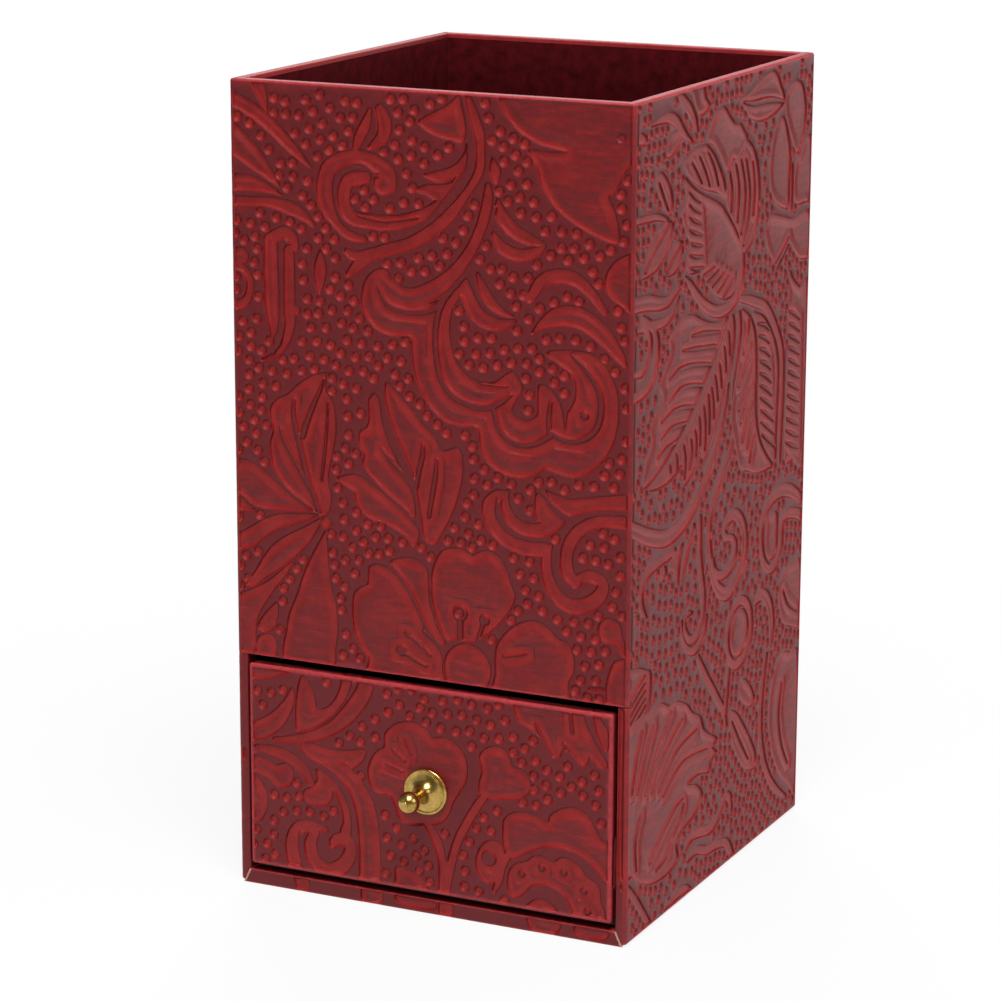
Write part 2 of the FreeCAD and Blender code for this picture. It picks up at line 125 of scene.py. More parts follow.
# %% The drawing of the front, from its top edge down to the drawer
FRONT_DRAWING = """
# strokes that enter from the left edge
press 6.5 -4 1.5, 6.5 -1 1.5, 8 3 1.2, 9.3 7.5 .1 | -3 2 1.5, 0 4 1.5, 5 6.2 1.5, 10 9.5 1.4, 15 14 1.1,
  19.5 18 .2
press -2 11 3, 4 15.5 2.6, 8 19 1.6, 12 22.8 .2 | -2 23 1.8, 5 22.7 1.6, 10 23.8 .7, 12.5 24.8 .1
press -2 27 1.1, 5 26.7 .9, 10 26.6 1, 15 27.6 1.4, 18 29 1, 20.5 31 .2
press 34 5 .5, 33 8 1.1, 31.5 11 1.2, 30.5 13.5 .7 | 36.5 4.8 1.2, 37.5 7.5 1.6, 37 10.5 1.4, 34 13 .5
# the volute, its inner band and its bead
press 32.5 33 .6, 29 32 1.2, 25 28 1.8, 23 24 1.9, 24 18.5 1.8, 28 16 1.7, 33 15.7 1.7, 38 17.8 1.6,
  39 21 1.2
press 33 19.5 1.2, 29 20.5 1.5, 27.7 23.5 1.5, 28 26.5 1.5, 30 28.5 1.5, 34 29 1.5, 40 29 1.6,
  45 27.6 1.5, 49 25.3 1.2, 52 22.3 1, 54.5 18.8 .8, 55.8 15.5 .6
pit 37.3 20.5 2.4
# three lobes beside the first stem
area 57 -3, 54.5 .5, 51.5 3.2, 47.5 5.3, 45.5 6.8, 47 8.2, 50 9.6, 53.5 10.2, 56 10.2, 56.7 5, 57.5 0
area 56.6 10.8, 56 13, 53.5 15.7, 49.5 17.2, 46.8 18, 48.5 19, 51 19.3, 54 17.9, 56.8 15.5, 57 12
area 55 19, 51.5 19.8, 47 20.3, 44.8 21.6, 47.5 22.3, 50.5 23.6, 53 22.3
press 56 -3 1.1, 56 0 1.1, 58 4 1.1, 59.7 9 1.1, 60 14 1.1, 59 18 1.1, 56.5 22 1.2, 53 26 1.3,
  48.5 30 1.3, 43 33.2 1.2, 38 34.8 1.2, 33 36.5 1.2, 30.2 36.8 1, 28.4 36 .7 | 33.5 36.8 1.1,
  30.8 38.9 1.2, 28.6 41 .6
ridge 35.5 19.2 .35, 33 17.3 .45, 30.5 17 .5, 27 18.7 .5, 25.8 21.5 .5, 25.8 26 .5, 27.5 29.5 .6,
  31 31.3 .7, 35 31.5 .7, 40 31 .7, 44 29.7 .6, 48 27.5 .6, 52 23 .6, 55 19 .6, 57 16 .6, 57.3 12 .6,
  57 7 .6, 55.5 0 .6, 55.5 -3 .6
ridge 31 28 .25, 36 28.8 .25, 40 28.5 .25, 45 27.5 .25
ridge 58.5 -3 .6, 58.5 0 .6, 61 6 .6, 61.5 12 .6, 61.3 16 .6, 60 19 .6, 57 23.5 .6, 54 28 .6
# the hooked band on the left
press 9.7 35 1.6, 9.8 44 1.7, 10 50 1.6, 10.2 54 1, 9.8 56.7 .3 | 14.2 37 1.2, 14.2 42 1.3, 14.2 50 1.3,
  14.3 53 1.2, 13.5 56 1, 12.3 58.5 .7, 10 60.5 .5, 7.3 61.6 .2
press 10.5 34.3 1.4, 13 33 1.3, 15 34 1.3, 15.5 36 1
ridge 12 35.5 .5, 12.1 45 .55, 12.2 52 .6, 11.5 56 .7, 9.8 59.5 .7
press 21.8 36.3 .2, 21.8 40 1.4, 21.7 43 1.1, 21.7 45.7 .1 | 0 39 1.8, 2.5 39 1.8 | -1 50 1, 2.5 49.5 1,
  4.2 47.5 .9, 4.5 44.5 .9, 3.3 42 .8, 1 41 .8
# petals at the top right
area 63 -4, 63.7 0, 66 4.5, 69.5 7.7, 74 9.8, 79.5 10.9, 75.5 11.4, 71 11.3, 72.8 14.5, 74.3 19,
  78 23.5, 84 27.2, 91 29.5, 91.2 26, 90.3 22.5, 89 19.8, 90.5 18.5, 93 14, 95.5 12, 98 11, 98 -4
press 71.5 42.5 1, 74 38.8 1.3, 78 37.3 1.4, 82 37.8 1.3, 85.5 40.5 1, 88.5 44 .6
area 98 30.3, 95 31, 91 33, 88.8 36, 88.6 39, 90.7 41.5, 93 43, 98 45
press 64 22.3 .4, 64.5 25 1.3, 67 28 1.4, 71 30 1.2, 74.5 31 .4 | 63 29.7 .6, 65 32.3 1.2, 69 33.6 1.2,
  73 32.5 .9, 74.7 31 .3 | 62.7 13.5 .2, 63.2 16 1.2, 63.5 18.3 .5
press 72 50 .2, 74.5 47.6 1, 78 45.9 1.9, 82 45.6 2.1, 86 47.3 2, 89.5 50.3 1.6, 92 53.3 1, 93.3 55.2 .2
# second stem and the great curl it ends in
press 61.6 19.5 .7, 61.6 22 1.1, 61 25 1.2, 59.8 29 1.2, 57.6 33.5 1.2, 54.3 38 1.4, 50.5 41.5 1.7,
  46 44.2 2, 42 44.9 2.1, 38.5 43.3 2.3, 36 41.8 2.2
area 38 39.4, 35.6 39.3, 33 41.5, 31.8 45, 32 48, 33.7 50.8, 36.3 52.7, 39.5 53.4, 43.4 53.2, 43.8 56,
  44.2 60, 45.4 63.7, 48 67.8, 51.5 70.6, 55 71.4, 58.7 71.2, 59.7 72.5, 60 75.5, 62 78.8, 65.5 80.7,
  69.5 81.2, 73 80.2, 75.3 78.8, 78 79.3, 82 79.8, 85.5 78.3, 88 76, 90.3 72.5, 91.6 68, 91.8 63.5,
  91 59.5, 89.3 56.3, 87 54, 84 53, 80 53, 76.5 53.4, 75.5 54.3, 79 56.4, 80.9 57.8, 81.9 60, 81.9 63,
  81 65, 80.1 66.5, 79.7 70, 78.9 66, 77.8 63.3, 75.6 61.2, 73.9 60.8, 73.3 62, 73.4 65.5, 73 67.7,
  71 68.8, 68.8 68.5, 67.3 67, 68.5 64.3, 69.7 62, 68.4 59.4, 67.4 58.6, 65.5 59.7, 63.3 61.3, 60 61.6,
  56.7 60.3, 54.3 57.5, 53 54, 52.7 50, 53.3 46.7, 55 43.9, 55.5 42, 54 42, 50 45, 44 46, 39 44, 38.3 41
area 56.3 39.5, 54.5 42.5, 55.6 43.8, 56.8 46.5, 58.5 48.6, 61.3 49.9, 64.5 50, 67.9 48.2, 67.8 47.5,
  64.3 47.6, 61.2 46.4, 59 44, 57.5 41
press 59.3 38.5 .4, 60.6 41.5 1, 62.5 44.3 1, 65 46 .7, 67.5 46.8 .2
ridge 35.8 43.3 .2, 37.3 46 .5, 40 47.6 .6, 44 48 .6, 48 47.3 .6, 51 45 .6, 53.6 41.8 .6, 57 38 .6,
  60 34 .6, 61.8 29 .6, 63.3 24 .4
ridge 51.2 45.2 .5, 49.8 48.5 .6, 49.3 54 .6, 50.2 60.5 .6, 52.7 64.6 .7, 57 66.7 .7, 61.5 67 .7,
  64.5 65.6 .6, 67 63.8 .3
ridge 63 67.3 .5, 64.2 71 .6, 66.7 73.4 .6, 70 74.2 .6, 73.3 73.4 .6, 76.3 71.5 .6
ridge 81 53.9 .3, 84.3 56.7 .6, 86.9 60.3 .65, 87.8 64.2 .65, 87.1 68.3 .65, 85 70.9 .6, 82 72.2 .6,
  79 72 .6, 76.5 71 .6 | 76 71 .5, 75.9 67.5 .5, 76.3 64.5 .3
boss 84 66.5 .9
ridge 60 62 .2, 66 62 .2
# the broad leaf at the lower left, upper part and lobes
area 23 63, 19.5 64, 16 66.3, 13.5 68.6, 10.8 70, 9.3 72, 9.3 74.5, 9.8 77, 9 80, 9.3 83.5, 10.3 86,
  14 90, 17.5 92, 21 94.5, 23.5 93.5, 24 90, 23.3 86, 24.5 80.5, 25.3 76, 25.2 72, 24.5 69, 23 67, 23 63
ridge 15 69.8 .25, 14.8 73 .5, 15.6 77 .6, 16.9 82 .6, 18 86 .6, 19.5 90 .6, 21 94 .5 | 22.3 64.5 .1,
  21.7 66.5 .3, 20 70 .5, 18.3 74 .6, 17 77.5 .7
ridge 11.5 76.5 .3, 12.5 79 .5, 14.3 82 .5, 16.5 85.5 .5, 18.3 89 .4 | 23.3 69.5 .15, 23 75 .25,
  22.4 81 .3, 21.5 87 .25
area -3 84.6, 2 84.2, 6 85.3, 10 88, 14 91, 17.3 92.8, 19.5 93.8, 15 94.3, 10 94.6, 5.5 94.2, 3 92.8,
  0 91, -3 89.5
area -3 90.5, .5 92, 3 93.8, 5 95.2, 2 95.6, -3 95.5
area 20.5 94.6, 16 94.9, 12 95.3, 8.5 96.4, 4 99, 0 101.5, -3 103, -3 107, 1 104.5, 4.5 103.5, 7.5 101,
  11 98.6, 15 97.2, 18.5 95.9
area 21.5 95.4, 17.5 97.6, 13 100, 9.5 102.5, 7 105.5, 4.8 109, 2.5 111.8, 4.5 112.3, 8 109.8, 12 107,
  15 104.5, 18 101.5, 20.3 98.3
area 14.7 105.2, 11.5 107.8, 8 110.8, 4 113, .5 114.5, -3 115.5, -3 128, 4 127.5, 4.8 122, 5.5 119,
  7.5 115.5, 10 112, 12.5 109
area 10.3 115.3, 8.3 117, 6 119.7, 5.4 121.5, 7 122.3, 9.3 121.3, 10.4 118.5
area 5.5 123.5, 9.5 123.2, 9.5 128, 5 128
area 22.6 98, 21 100.5, 18.5 105, 16.5 109.5, 15.3 113, 13.5 117, 12.6 121, 12.3 128, 23.5 128,
  24.8 124, 25.4 119, 25 114, 23.8 109.5, 23.2 104, 22.9 100
pit 22.8 96 1.2
# small leaf and the two tall leaves
area 26 85.7, 30 84.7, 33 85.8, 37 88.4, 41 91.1, 44.8 94.5, 45.3 97, 44.3 98.9, 43.3 98, 41.3 96.3,
  39 95.2, 36.5 94.6, 34 94.1, 31.8 92.7, 30.2 90.6, 29.7 88.5, 27.8 87.3, 25.8 86.6
area 34.8 66.4, 33.3 68.2, 33.4 71.5, 32.9 73.9, 31.2 75.2, 31 77.8, 32.2 80, 31.9 82.3, 33.8 84.6,
  37 87.3, 41 90, 44.3 92.6, 44 88, 42 84, 39.6 79.6, 37.5 75.5, 36.3 71.5, 35.9 68
ridge 36.3 78.3 .2, 38.5 80.7 .5, 41 83 .5, 43.7 86 .4
area 37.7 63.7, 40 65.5, 43 68.3, 46 71.6, 49 74.3, 50.9 77.3, 54.3 76.4, 55.7 78, 55.8 82, 55 86,
  53 91.5, 51 95, 49.3 97.8, 46.8 97, 46 93, 45.3 89, 44.7 86, 44 82.8, 42.5 80, 40.3 75.5, 38.4 71,
  37.3 67
ridge 46.3 76.5 .25, 46.2 79 .5, 45.3 82.5 .5, 44.6 86 .5 | 49.6 79.5 .25, 49.3 83 .5, 48.6 87 .5,
  47.7 92 .4
# the flower over the drawer
area 50.6 99.5, 53 98.3, 55.8 98.2, 58.2 99.3, 58.2 99.3, 60.3 98.2, 62.8 98, 65 99.4, 66.5 101.8,
  67.3 104.5, 68.3 107, 67.5 109.5, 65.8 111.8, 63.7 114.3, 61 116.6, 58.5 118, 54 118.2, 52 118.3,
  50.3 115.5, 48.8 111.5, 48.3 107, 48.8 103
boss 55.2 112.3 1.7
ridge 55.2 113.5 .6, 55.2 118 .6
boss 61 113.1 1.2
ridge 60.7 114 .35, 60 116 .4, 59.3 118.5 .4
area 33.3 104.7, 35.5 103.9, 38 104.6, 41 107, 43.5 110.5, 45.6 114.5, 47.5 118, 50.5 121.5, 51 126,
  51 129, 34 129, 33 125, 30.8 122, 29.5 119, 29.1 115, 29.4 111.5, 30.8 109.7, 32.8 108.6, 33 106.5
boss 42.5 118.5 .8
ridge 42.5 118.5 .4, 45 120 .4, 48 122.5 .3
boss 41 122.3 1.2
ridge 41 122.3 .5, 44 123.8 .4, 47 125 .3 | 46.5 117.3 .4, 50.5 120.5 .3
area 38.6 102.9, 41 101.9, 43.5 101.6, 46 102.3, 47.4 104, 47.6 107, 48 111, 49.5 115.5, 51.6 118.8,
  50.8 119.5, 48.5 117.3, 46.7 114.7, 44.8 111, 42.3 107, 40 104.6
area 63.8 119, 65.3 116.2, 67.8 113.7, 70.5 112.3, 73.2 111.8, 75.8 112.7, 78 114.6, 80.6 115.8, 82 118,
  82.2 121.5, 80.8 124.5, 80 129, 64.5 129, 63.7 124
ridge 65.5 120.5 .2, 68 120 .3, 71 119.2 .2
pit 57 124.3 5.6
# scrolls at the lower right
press 66 84.6 .3, 63.8 85.8 1.2, 62 88 1.5, 62.3 90.8 1.4, 64.3 93.6 1.4, 67.7 95.6 1.4, 72 96.3 1.5,
  76 96 1.3
press 75.8 96.5 1.3, 75.7 100 1.3, 76.8 104 1.4, 79.5 106.8 1.5, 83 107.5 1.6, 86.5 106 1.6,
  88.5 103.5 1.4, 88.3 101.5 1.3, 86 100.6 1.2, 83.5 101.2 1
press 66.6 84.2 .2, 65.8 87 .9, 67 90 1.2, 69.8 91.9 1.3, 73.5 92.2 1.5, 77 90.6 1.5, 78 90 .8
area 73.2 84.2, 72.8 87, 73.5 90, 77 91.3, 79.8 89.8, 77 87.7, 75 85.2
area 75 83.4, 78 84, 80.3 84.7, 85 84, 90 83, 98 82, 98 85.6, 93 85.6, 88 86.1, 84 87.3, 80.8 88.1,
  78 86.6, 76 84.9
press 98 88.2 1.3, 91 88.3 1.2, 87 88.9 1.2, 83.5 90.8 1.3, 81.2 93.7 1.4, 80.2 97 1.4, 80.5 100.3 1.4,
  82.5 102.3 1.2
ridge 64 86.3 .3, 64.4 89.5 .5, 66.2 92 .55, 69 93.7 .55, 73 94.1 .55, 77 93.4 .55, 79.7 91.3 .55,
  82.2 88.6 .5 | 74.3 83 .4, 76.5 86.2 .5, 80.2 88.7 .5
ridge 77.8 93.5 .3, 77.2 97 .5, 77.7 101.3 .6, 79.6 104.2 .6, 82.5 105.1 .6, 85.3 104.2 .5, 87 102.8 .2
# bud at the right
pit 90.4 111.8 2.7
press 92.3 113.5 1.2, 93.8 115.8 .9, 95.5 118 .4
area 90.3 121, 91 119.2, 92.3 118, 98 117.3, 98 129, 91 129, 89.6 125
press 86 125 .4, 88.8 124.7 .4
# pebbles of the ground
dots 12 1, 18.7 3.5, 22.2 2.2, 20.5 6, 17 7, 24.5 5, 22.7 8.5, 19.5 9.8, 16 11, 22.2 12, 18.7 13.2,
  21.5 15.7, 26 .5, 30 .7, 35.5 1, 39 2.2, 42 2, 45.8 1, 28.3 3.2, 31 3.5, 44.5 4.3, 27 7, 30 6.7,
  40.7 5, 43.5 6.7, 41 8.7, 29 9.7, 25.3 11, 27.5 13, 44 10.8, 40 12, 47 12, 40.7 15, 43.8 14,
  46.8 15.5, 42.7 18, 44 21, 38.7 25.8, 42 24.3, 45.5 24.3
dots 2 8.2, 5 9.5, 7.7 12, 9.7 15, 12.5 17.8, 12 20.5, 15.5 20.5, 19 21.2, 14 23, 17.8 24.5, 7.3 29,
  1.5 31, 5 31.5, 8.5 32, 11.3 29.8, 6 34.3, 21.5 33.5, 18.7 36, 25.6 37.5, 17.5 39.5, 25.5 41.8,
  17.8 43, 28.7 43.2, 41.3 37.3, 45.5 36, 43.8 39, 47 38.7, 40.7 40.8
dots 48.3 2.7, 61 1.7, 61.8 4.8, 64.5 7.5, 67.5 8.8, 65.2 10.7, 68 12.3, 65.3 13.9, 68.7 15.7, 67 18.7,
  70.6 18.3, 69 21.2, 72.2 22, 69.3 24.6, 72.8 25.2, 76.3 24.7, 74.8 28, 78.6 27.8, 82 28, 78.6 31.3,
  81.5 31, 84.9 30, 76.2 33, 80.1 33.7, 83.7 33, 87.3 32.3, 73 35.3, 85.7 35.7, 62.4 37, 65 36.8,
  67.6 38.3, 71 38.2, 64.5 40, 67 41.8, 70 42, 68.3 44.5, 77 43, 80 41.5, 82.7 42.3, 73.7 44.5,
  91.5 43.5, 91.7 7.4, 92 22, 93.2 25.3, 92.6 28.8
dots 48.6 35.2, 52.2 34.5, 54.3 32, 56 29.2, 50.5 37.3, 47.3 38.8, 50 13.5, 52.6 11.7, 47.3 11.7
dots 18.7 47, 26.8 45.8, 30 46.5, 21.3 50, 24.7 49, 28.5 48.8, 19.5 53.3, 23.2 53, 27 51.7, 29.8 52.5,
  33.3 52.9, 17.3 56.5, 21 56.2, 24.3 56.7, 28.3 55.3, 31.8 55.7, 35.7 56, 39.3 55.3, 15.3 60.5,
  19.2 59.6, 22.7 60, 26.8 58.3, 30.3 58.8, 33.6 58.4, 38 58.3, 41.3 58.7, 28.7 62, 32.2 61.7,
  39.8 61.7, 43 62.3, 17.2 63, 13.5 64, 9.8 63.7, 7.5 66.7, 10.8 67, 27.3 65, 30.5 65.7, 28.2 68.2,
  31.5 71, 28.3 72, 28.5 76, 27.6 79
dots 2.7 53.3, 6.2 52.5, 4.7 55.7, 1.7 56.7, 4.7 58.7, 1.3 60, 4.2 61.8, 1 63.5, 4.2 65, 1 67, 4 68.3,
  7.3 69.8, 1.3 70, 4.3 71.7, 1.5 73.7, 5.3 75, 2.5 76.7, 5.7 78, 3.3 80.2, 6 81.7, 43.3 66.2,
  15.8 49.8, 9.2 57.2
dots 56.2 49.8, 56.3 53, 59.5 52, 59 55.5, 62.3 55, 65.6 54, 68.8 53.5, 72 53.2, 57.4 58, 60.7 58.3,
  64 57.5, 67.2 56.7, 70.8 56.5, 73.7 55.2, 73.8 58, 70.6 59.7, 76.8 57, 79.5 58.3, 77.2 60, 79.5 62,
  71.5 63.2, 71.2 66.5, 71.2 47, 68.5 49.7, 75.3 51, 78.3 50.5, 82 50.5, 85.4 51.5, 88.5 54, 91 56.5,
  93.3 59.8, 93.7 64, 93.8 67.5, 93.7 71, 92.7 74.8, 92.3 78, 88.8 78.7, 91 81, 86.5 81.3, 83 81.3,
  79.7 82.7, 76.7 81.3, 71.8 83.5, 69 85.7, 64.2 81.7, 61.7 83.5, 61 80.3, 58.5 78.3, 58.7 82.5,
  58.5 86, 52 73.3, 56.5 73.3, 92.3 47
dots 25.8 88, 27 91.2, 30.3 93, 27.3 94.8, 33 95.3, 30.3 97, 27 98.7, 35 97.8, 38 97.8, 41.5 98.3,
  32 99.3, 29.3 100.8, 33.3 101.7, 35.8 101.5, 38.3 100.5, 24.4 102.5, 27.5 103.8, 30.8 103.4,
  29.8 106.5, 27.3 109.7, 1.2 108, 3 110.7, 27.5 120.3, 29.3 123.2, 26.8 125, 36.3 95.3
dots 57 88, 56.5 91, 59.7 92.3, 54 93.7, 57.3 94.7, 52.5 96.7, 60.3 95.7, 68 98.7, 71.7 99, 69.5 102,
  72.8 102.4, 70.8 105.3, 73.9 106.3, 71.3 108.2, 74.8 109.3, 78.3 110.7, 82.2 110.8, 85.5 110.7,
  80.5 113, 83.8 113.8, 87.2 114, 86.2 116.7, 89.5 116.2, 88 119.3, 84.8 120, 83.8 123.2, 87.3 122.8,
  88.7 91, 91.3 92, 85.7 93.8, 89 94, 92.7 95.7, 84.1 96.8, 87.1 97, 89.9 97.5, 92.7 99.7, 91.8 103.2,
  91 106.5, 94.5 105.5, 71.8 88
"""

# %% The drawing of the drawer face, in the same millimetres
DRAWER_DRAWING = """
# leaves and curls left of the knob
area 1 127, 15 127, 15 129, 14.3 130.3, 12 131.2, 8 132.5, 3 133.2, 0 133.5
area 16.8 130.8, 18.7 132.5, 20 135.3, 20.5 137.7, 23 137, 25.3 134.3, 26.5 131, 26.8 127, 29.3 127,
  29 131, 27.6 134.5, 25.3 137.7, 22.3 140.4, 19 142.5, 15.5 143.3, 15 140, 15.2 136.5, 15.8 133
area 14.2 133.7, 12 137, 9 140, 6 142, 2 143.7, 0 144.5, 0 148, 4 147, 8 145.7, 11.5 143, 13.6 139.8,
  14.8 136.3
press 33.5 127 2, 33 129.5 1.9, 31.8 133 1.9, 29 137 1.9, 25.5 140.5 1.6, 21.5 143 1.3, 16 145 1,
  9.5 146 .4
area 16 146, 20 145.8, 24 146.3, 28 146, 32 145.2, 32.5 146.5, 31.3 148.3, 29 150, 27.5 148.9, 24 149.7,
  20 149.6, 17.5 148
press 5 148.3 .5, 10 148.6 1.1, 14 149.8 1.2, 17 151.8 1.2, 18.7 154.5 .8
area 20.2 151.3, 23 152.2, 25.8 154.6, 28 158.3, 28.8 162.5, 28.2 165.8, 26.3 166.8, 26 164.5,
  26.8 161.5, 25.8 158, 24.5 155.8, 23.8 157.5, 22.5 159, 19.5 159.3, 17 158.3, 17 156.5, 18.8 155.5,
  20.2 153.8
press 22.5 150.2 .5, 26.5 150.8 1.6, 29.7 153.3 2, 32 157.5 2.5, 33.1 163 2.6, 33.4 170 2.7,
  33.4 178 2.7
ridge 17 149.3 .6, 21 150.3 .6, 24.5 152 .6, 27.5 155 .6, 29.3 159 .6, 30 164 .6, 30.2 170 .6, 30 178 .6
press 22.5 164.6 .6, 19 164.3 1.3, 15.5 165.3 1.5, 13.8 168.5 1.6, 14.2 172.5 1.7, 16 178 1.7
press 19.5 165.8 1.2, 18.4 168.8 1.5, 19.6 172 1.6, 23 173.6 1.6, 26.8 171.8 1.7, 28.6 168.3 1.5,
  27.3 166 1.4, 24.8 166.7 1.3, 24 168 .6
ridge 15.9 166.3 .3, 15.9 169.5 .5, 17 172.5 .5, 19 175.3 .5, 22 178 .5
area 0 150, 4 150.2, 7.5 150.7, 10 151.8, 12.3 151, 14 152, 14.3 154, 13 156.2, 10.3 156.5, 8 154.8,
  4 153.7, 0 153.5
area 0 153.8, 3.5 154, 6 156, 7.6 159, 7.3 162.3, 5.5 165, 3 163.5, 0 162
# the flower behind the knob
area 37 144, 37.3 141, 39.5 138.7, 42 137.7, 45 137.5, 47.8 138.8, 49 140.2, 52 139.8, 54.7 140.9,
  56.6 143, 57.4 146, 57 149, 55.5 151.5, 54 154, 52.8 157, 50.5 159.2, 47 159.8, 43.5 160.4, 41 159.5,
  39.8 157, 38.5 154.5, 36 154.5, 33.8 153, 33 150, 33.9 147, 35.6 144.9
ridge 42 146.5 .15, 39 144.2 .2 | 41.5 148.8 .15, 37.6 147.7 .2 | 43.5 144.8 .15, 42 141.8 .2
area 40 170.2, 43 170.4, 46 171.8, 48.3 174.5, 49 178, 40 178, 39.7 173
press 47.5 159.5 .8, 49.8 162.5 1.1, 51.3 167 1, 51.8 171 1.3, 51.8 178 1.8 | 62 151 .8, 60 153.5 1,
  57.3 158 1, 55 162.5 1, 53.5 167.5 1, 52.5 172 1
# bud, leaves and scalloped flower on the right
area 60.3 142.8, 62 140.8, 64.5 140, 66.7 140.9, 67.8 142.7, 68.2 143.8, 70.3 144.2, 72.1 145.7,
  72.6 147.7, 71.8 149.6, 69.3 150.8, 66 151.4, 63.5 151.8, 60.5 151.3, 60.2 148.8, 60.9 146
area 67.3 127, 68.2 130.5, 69.8 133.8, 73 135.2, 75.3 137.3, 77 140.2, 79.3 140.3, 80.3 138.5,
  82.5 139.5, 84 141.4, 85.7 141, 86.6 139.3, 88.5 141, 90.6 141, 90 139.2, 88 136.5, 86 133.3,
  84.8 130, 84.6 127
ridge 73.8 134 .3, 75.5 137.5 .4, 77.8 141 .3 | 81.8 130.5 .3, 82.2 134.5 .4 | 80.2 137.3 .3,
  84.3 141.5 .3
area 86.5 127, 87.2 131, 88.2 134.5, 90 137.4, 91.3 135.8, 90.6 133, 88.6 130.2, 88.3 127
area 66 158.5, 66.3 155.7, 68.8 153.9, 73 153.5, 76.5 154.8, 77.3 153.3, 79.7 151.6, 83 150.8, 86 152,
  88.2 155, 89.7 157, 94 157, 94 167, 90.5 165.5, 87 162.3, 84 160.7, 80 160.1, 76 160.5, 72 162.2,
  68.7 164, 66.9 163, 66 161
press 67.5 163 .9, 66 166 .8, 65 169.5 .9, 64 171.8 .5
area 60.4 163, 62.3 161.2, 65 161, 66.3 163, 65.6 166, 64.7 169.3, 62.3 170.3, 60.2 168.8, 59.5 166
boss 62.6 165 1.7
area 67.2 170.5, 67.4 167.4, 69 165.2, 71.6 164.2, 73.2 162.9, 75.7 162.5, 78 163.4, 79.8 162.2,
  82.3 162.3, 84.6 163.6, 85.6 165.1, 87.8 166.2, 89.2 168, 89.2 170.3, 90.3 172.5, 90.5 178, 83.3 178,
  83 174.5, 81.5 171.2, 79 169.3, 76 168.6, 73 169.4, 71 171.4, 69.3 172.5, 68 172
boss 70.5 167.2 .75 | 75.2 165.2 .75 | 80.5 165.4 .75 | 85.3 168.7 .75 | 86.2 173 .75
pit 75.5 176 4.2
# pebbles of the ground
dots 9 135.5, 12 134.5, 6.8 138.5, 5.5 135.5, 23 131.3, 9.5 158.5, 12.7 158.7, 15.8 158, 15.2 161.3,
  18.5 161, 11.8 162, 9.3 164.3, 4.8 167, 9.2 167.5, 4 170.3, 7.5 169.8, 9.5 172, 7 173.3, 15.3 155,
  24.5 160, 22 161.5, 31.3 151.2, 31.8 140, 28.7 142.5, 26 144.5, 31.3 143.5, 35 138, 35 142, 38 132,
  38.2 136, 41 134, 40.7 130.5, 44 130.3, 46 134, 43.5 136.2, 47 132, 47.5 137, 37.3 159, 40.2 161.5,
  37.8 164, 41.5 165, 44.3 163.2, 38.7 167.8, 42 168.7, 45 167, 37.5 172, 45.7 170.3, 47 165.5
dots 51.5 131.7, 55.2 131, 58.5 131.7, 62.3 132, 65 130.8, 49 134.7, 52.7 134.5, 56.2 134.2, 59.7 134.8,
  63 135.5, 66.5 134, 51 137.8, 54.8 138, 58 137.5, 61.5 138.5, 65 138.2, 68.5 137.3, 73.2 137.5,
  58.5 140.8, 68.5 140.7, 71.2 139.5, 70.5 142.7, 73.8 141.8, 73.3 145.2, 76.5 143.5, 76.3 146.8,
  79.5 144.5, 81.3 142, 82.3 146.3, 79.8 147.9, 84.8 144.8, 85 147.8, 87.7 143, 88.7 146.3, 88 149.5,
  76.7 149.8, 74 151.5, 73.5 148.2, 70.8 151.3, 89.3 153.3, 64.7 154, 61.5 156, 59.7 158.6, 63.3 158.7,
  58 161.8, 52 161, 56.5 165, 57 168.5, 56.8 172, 60.3 172.5, 48 168.7, 48.3 172.3, 66.5 173.5
"""

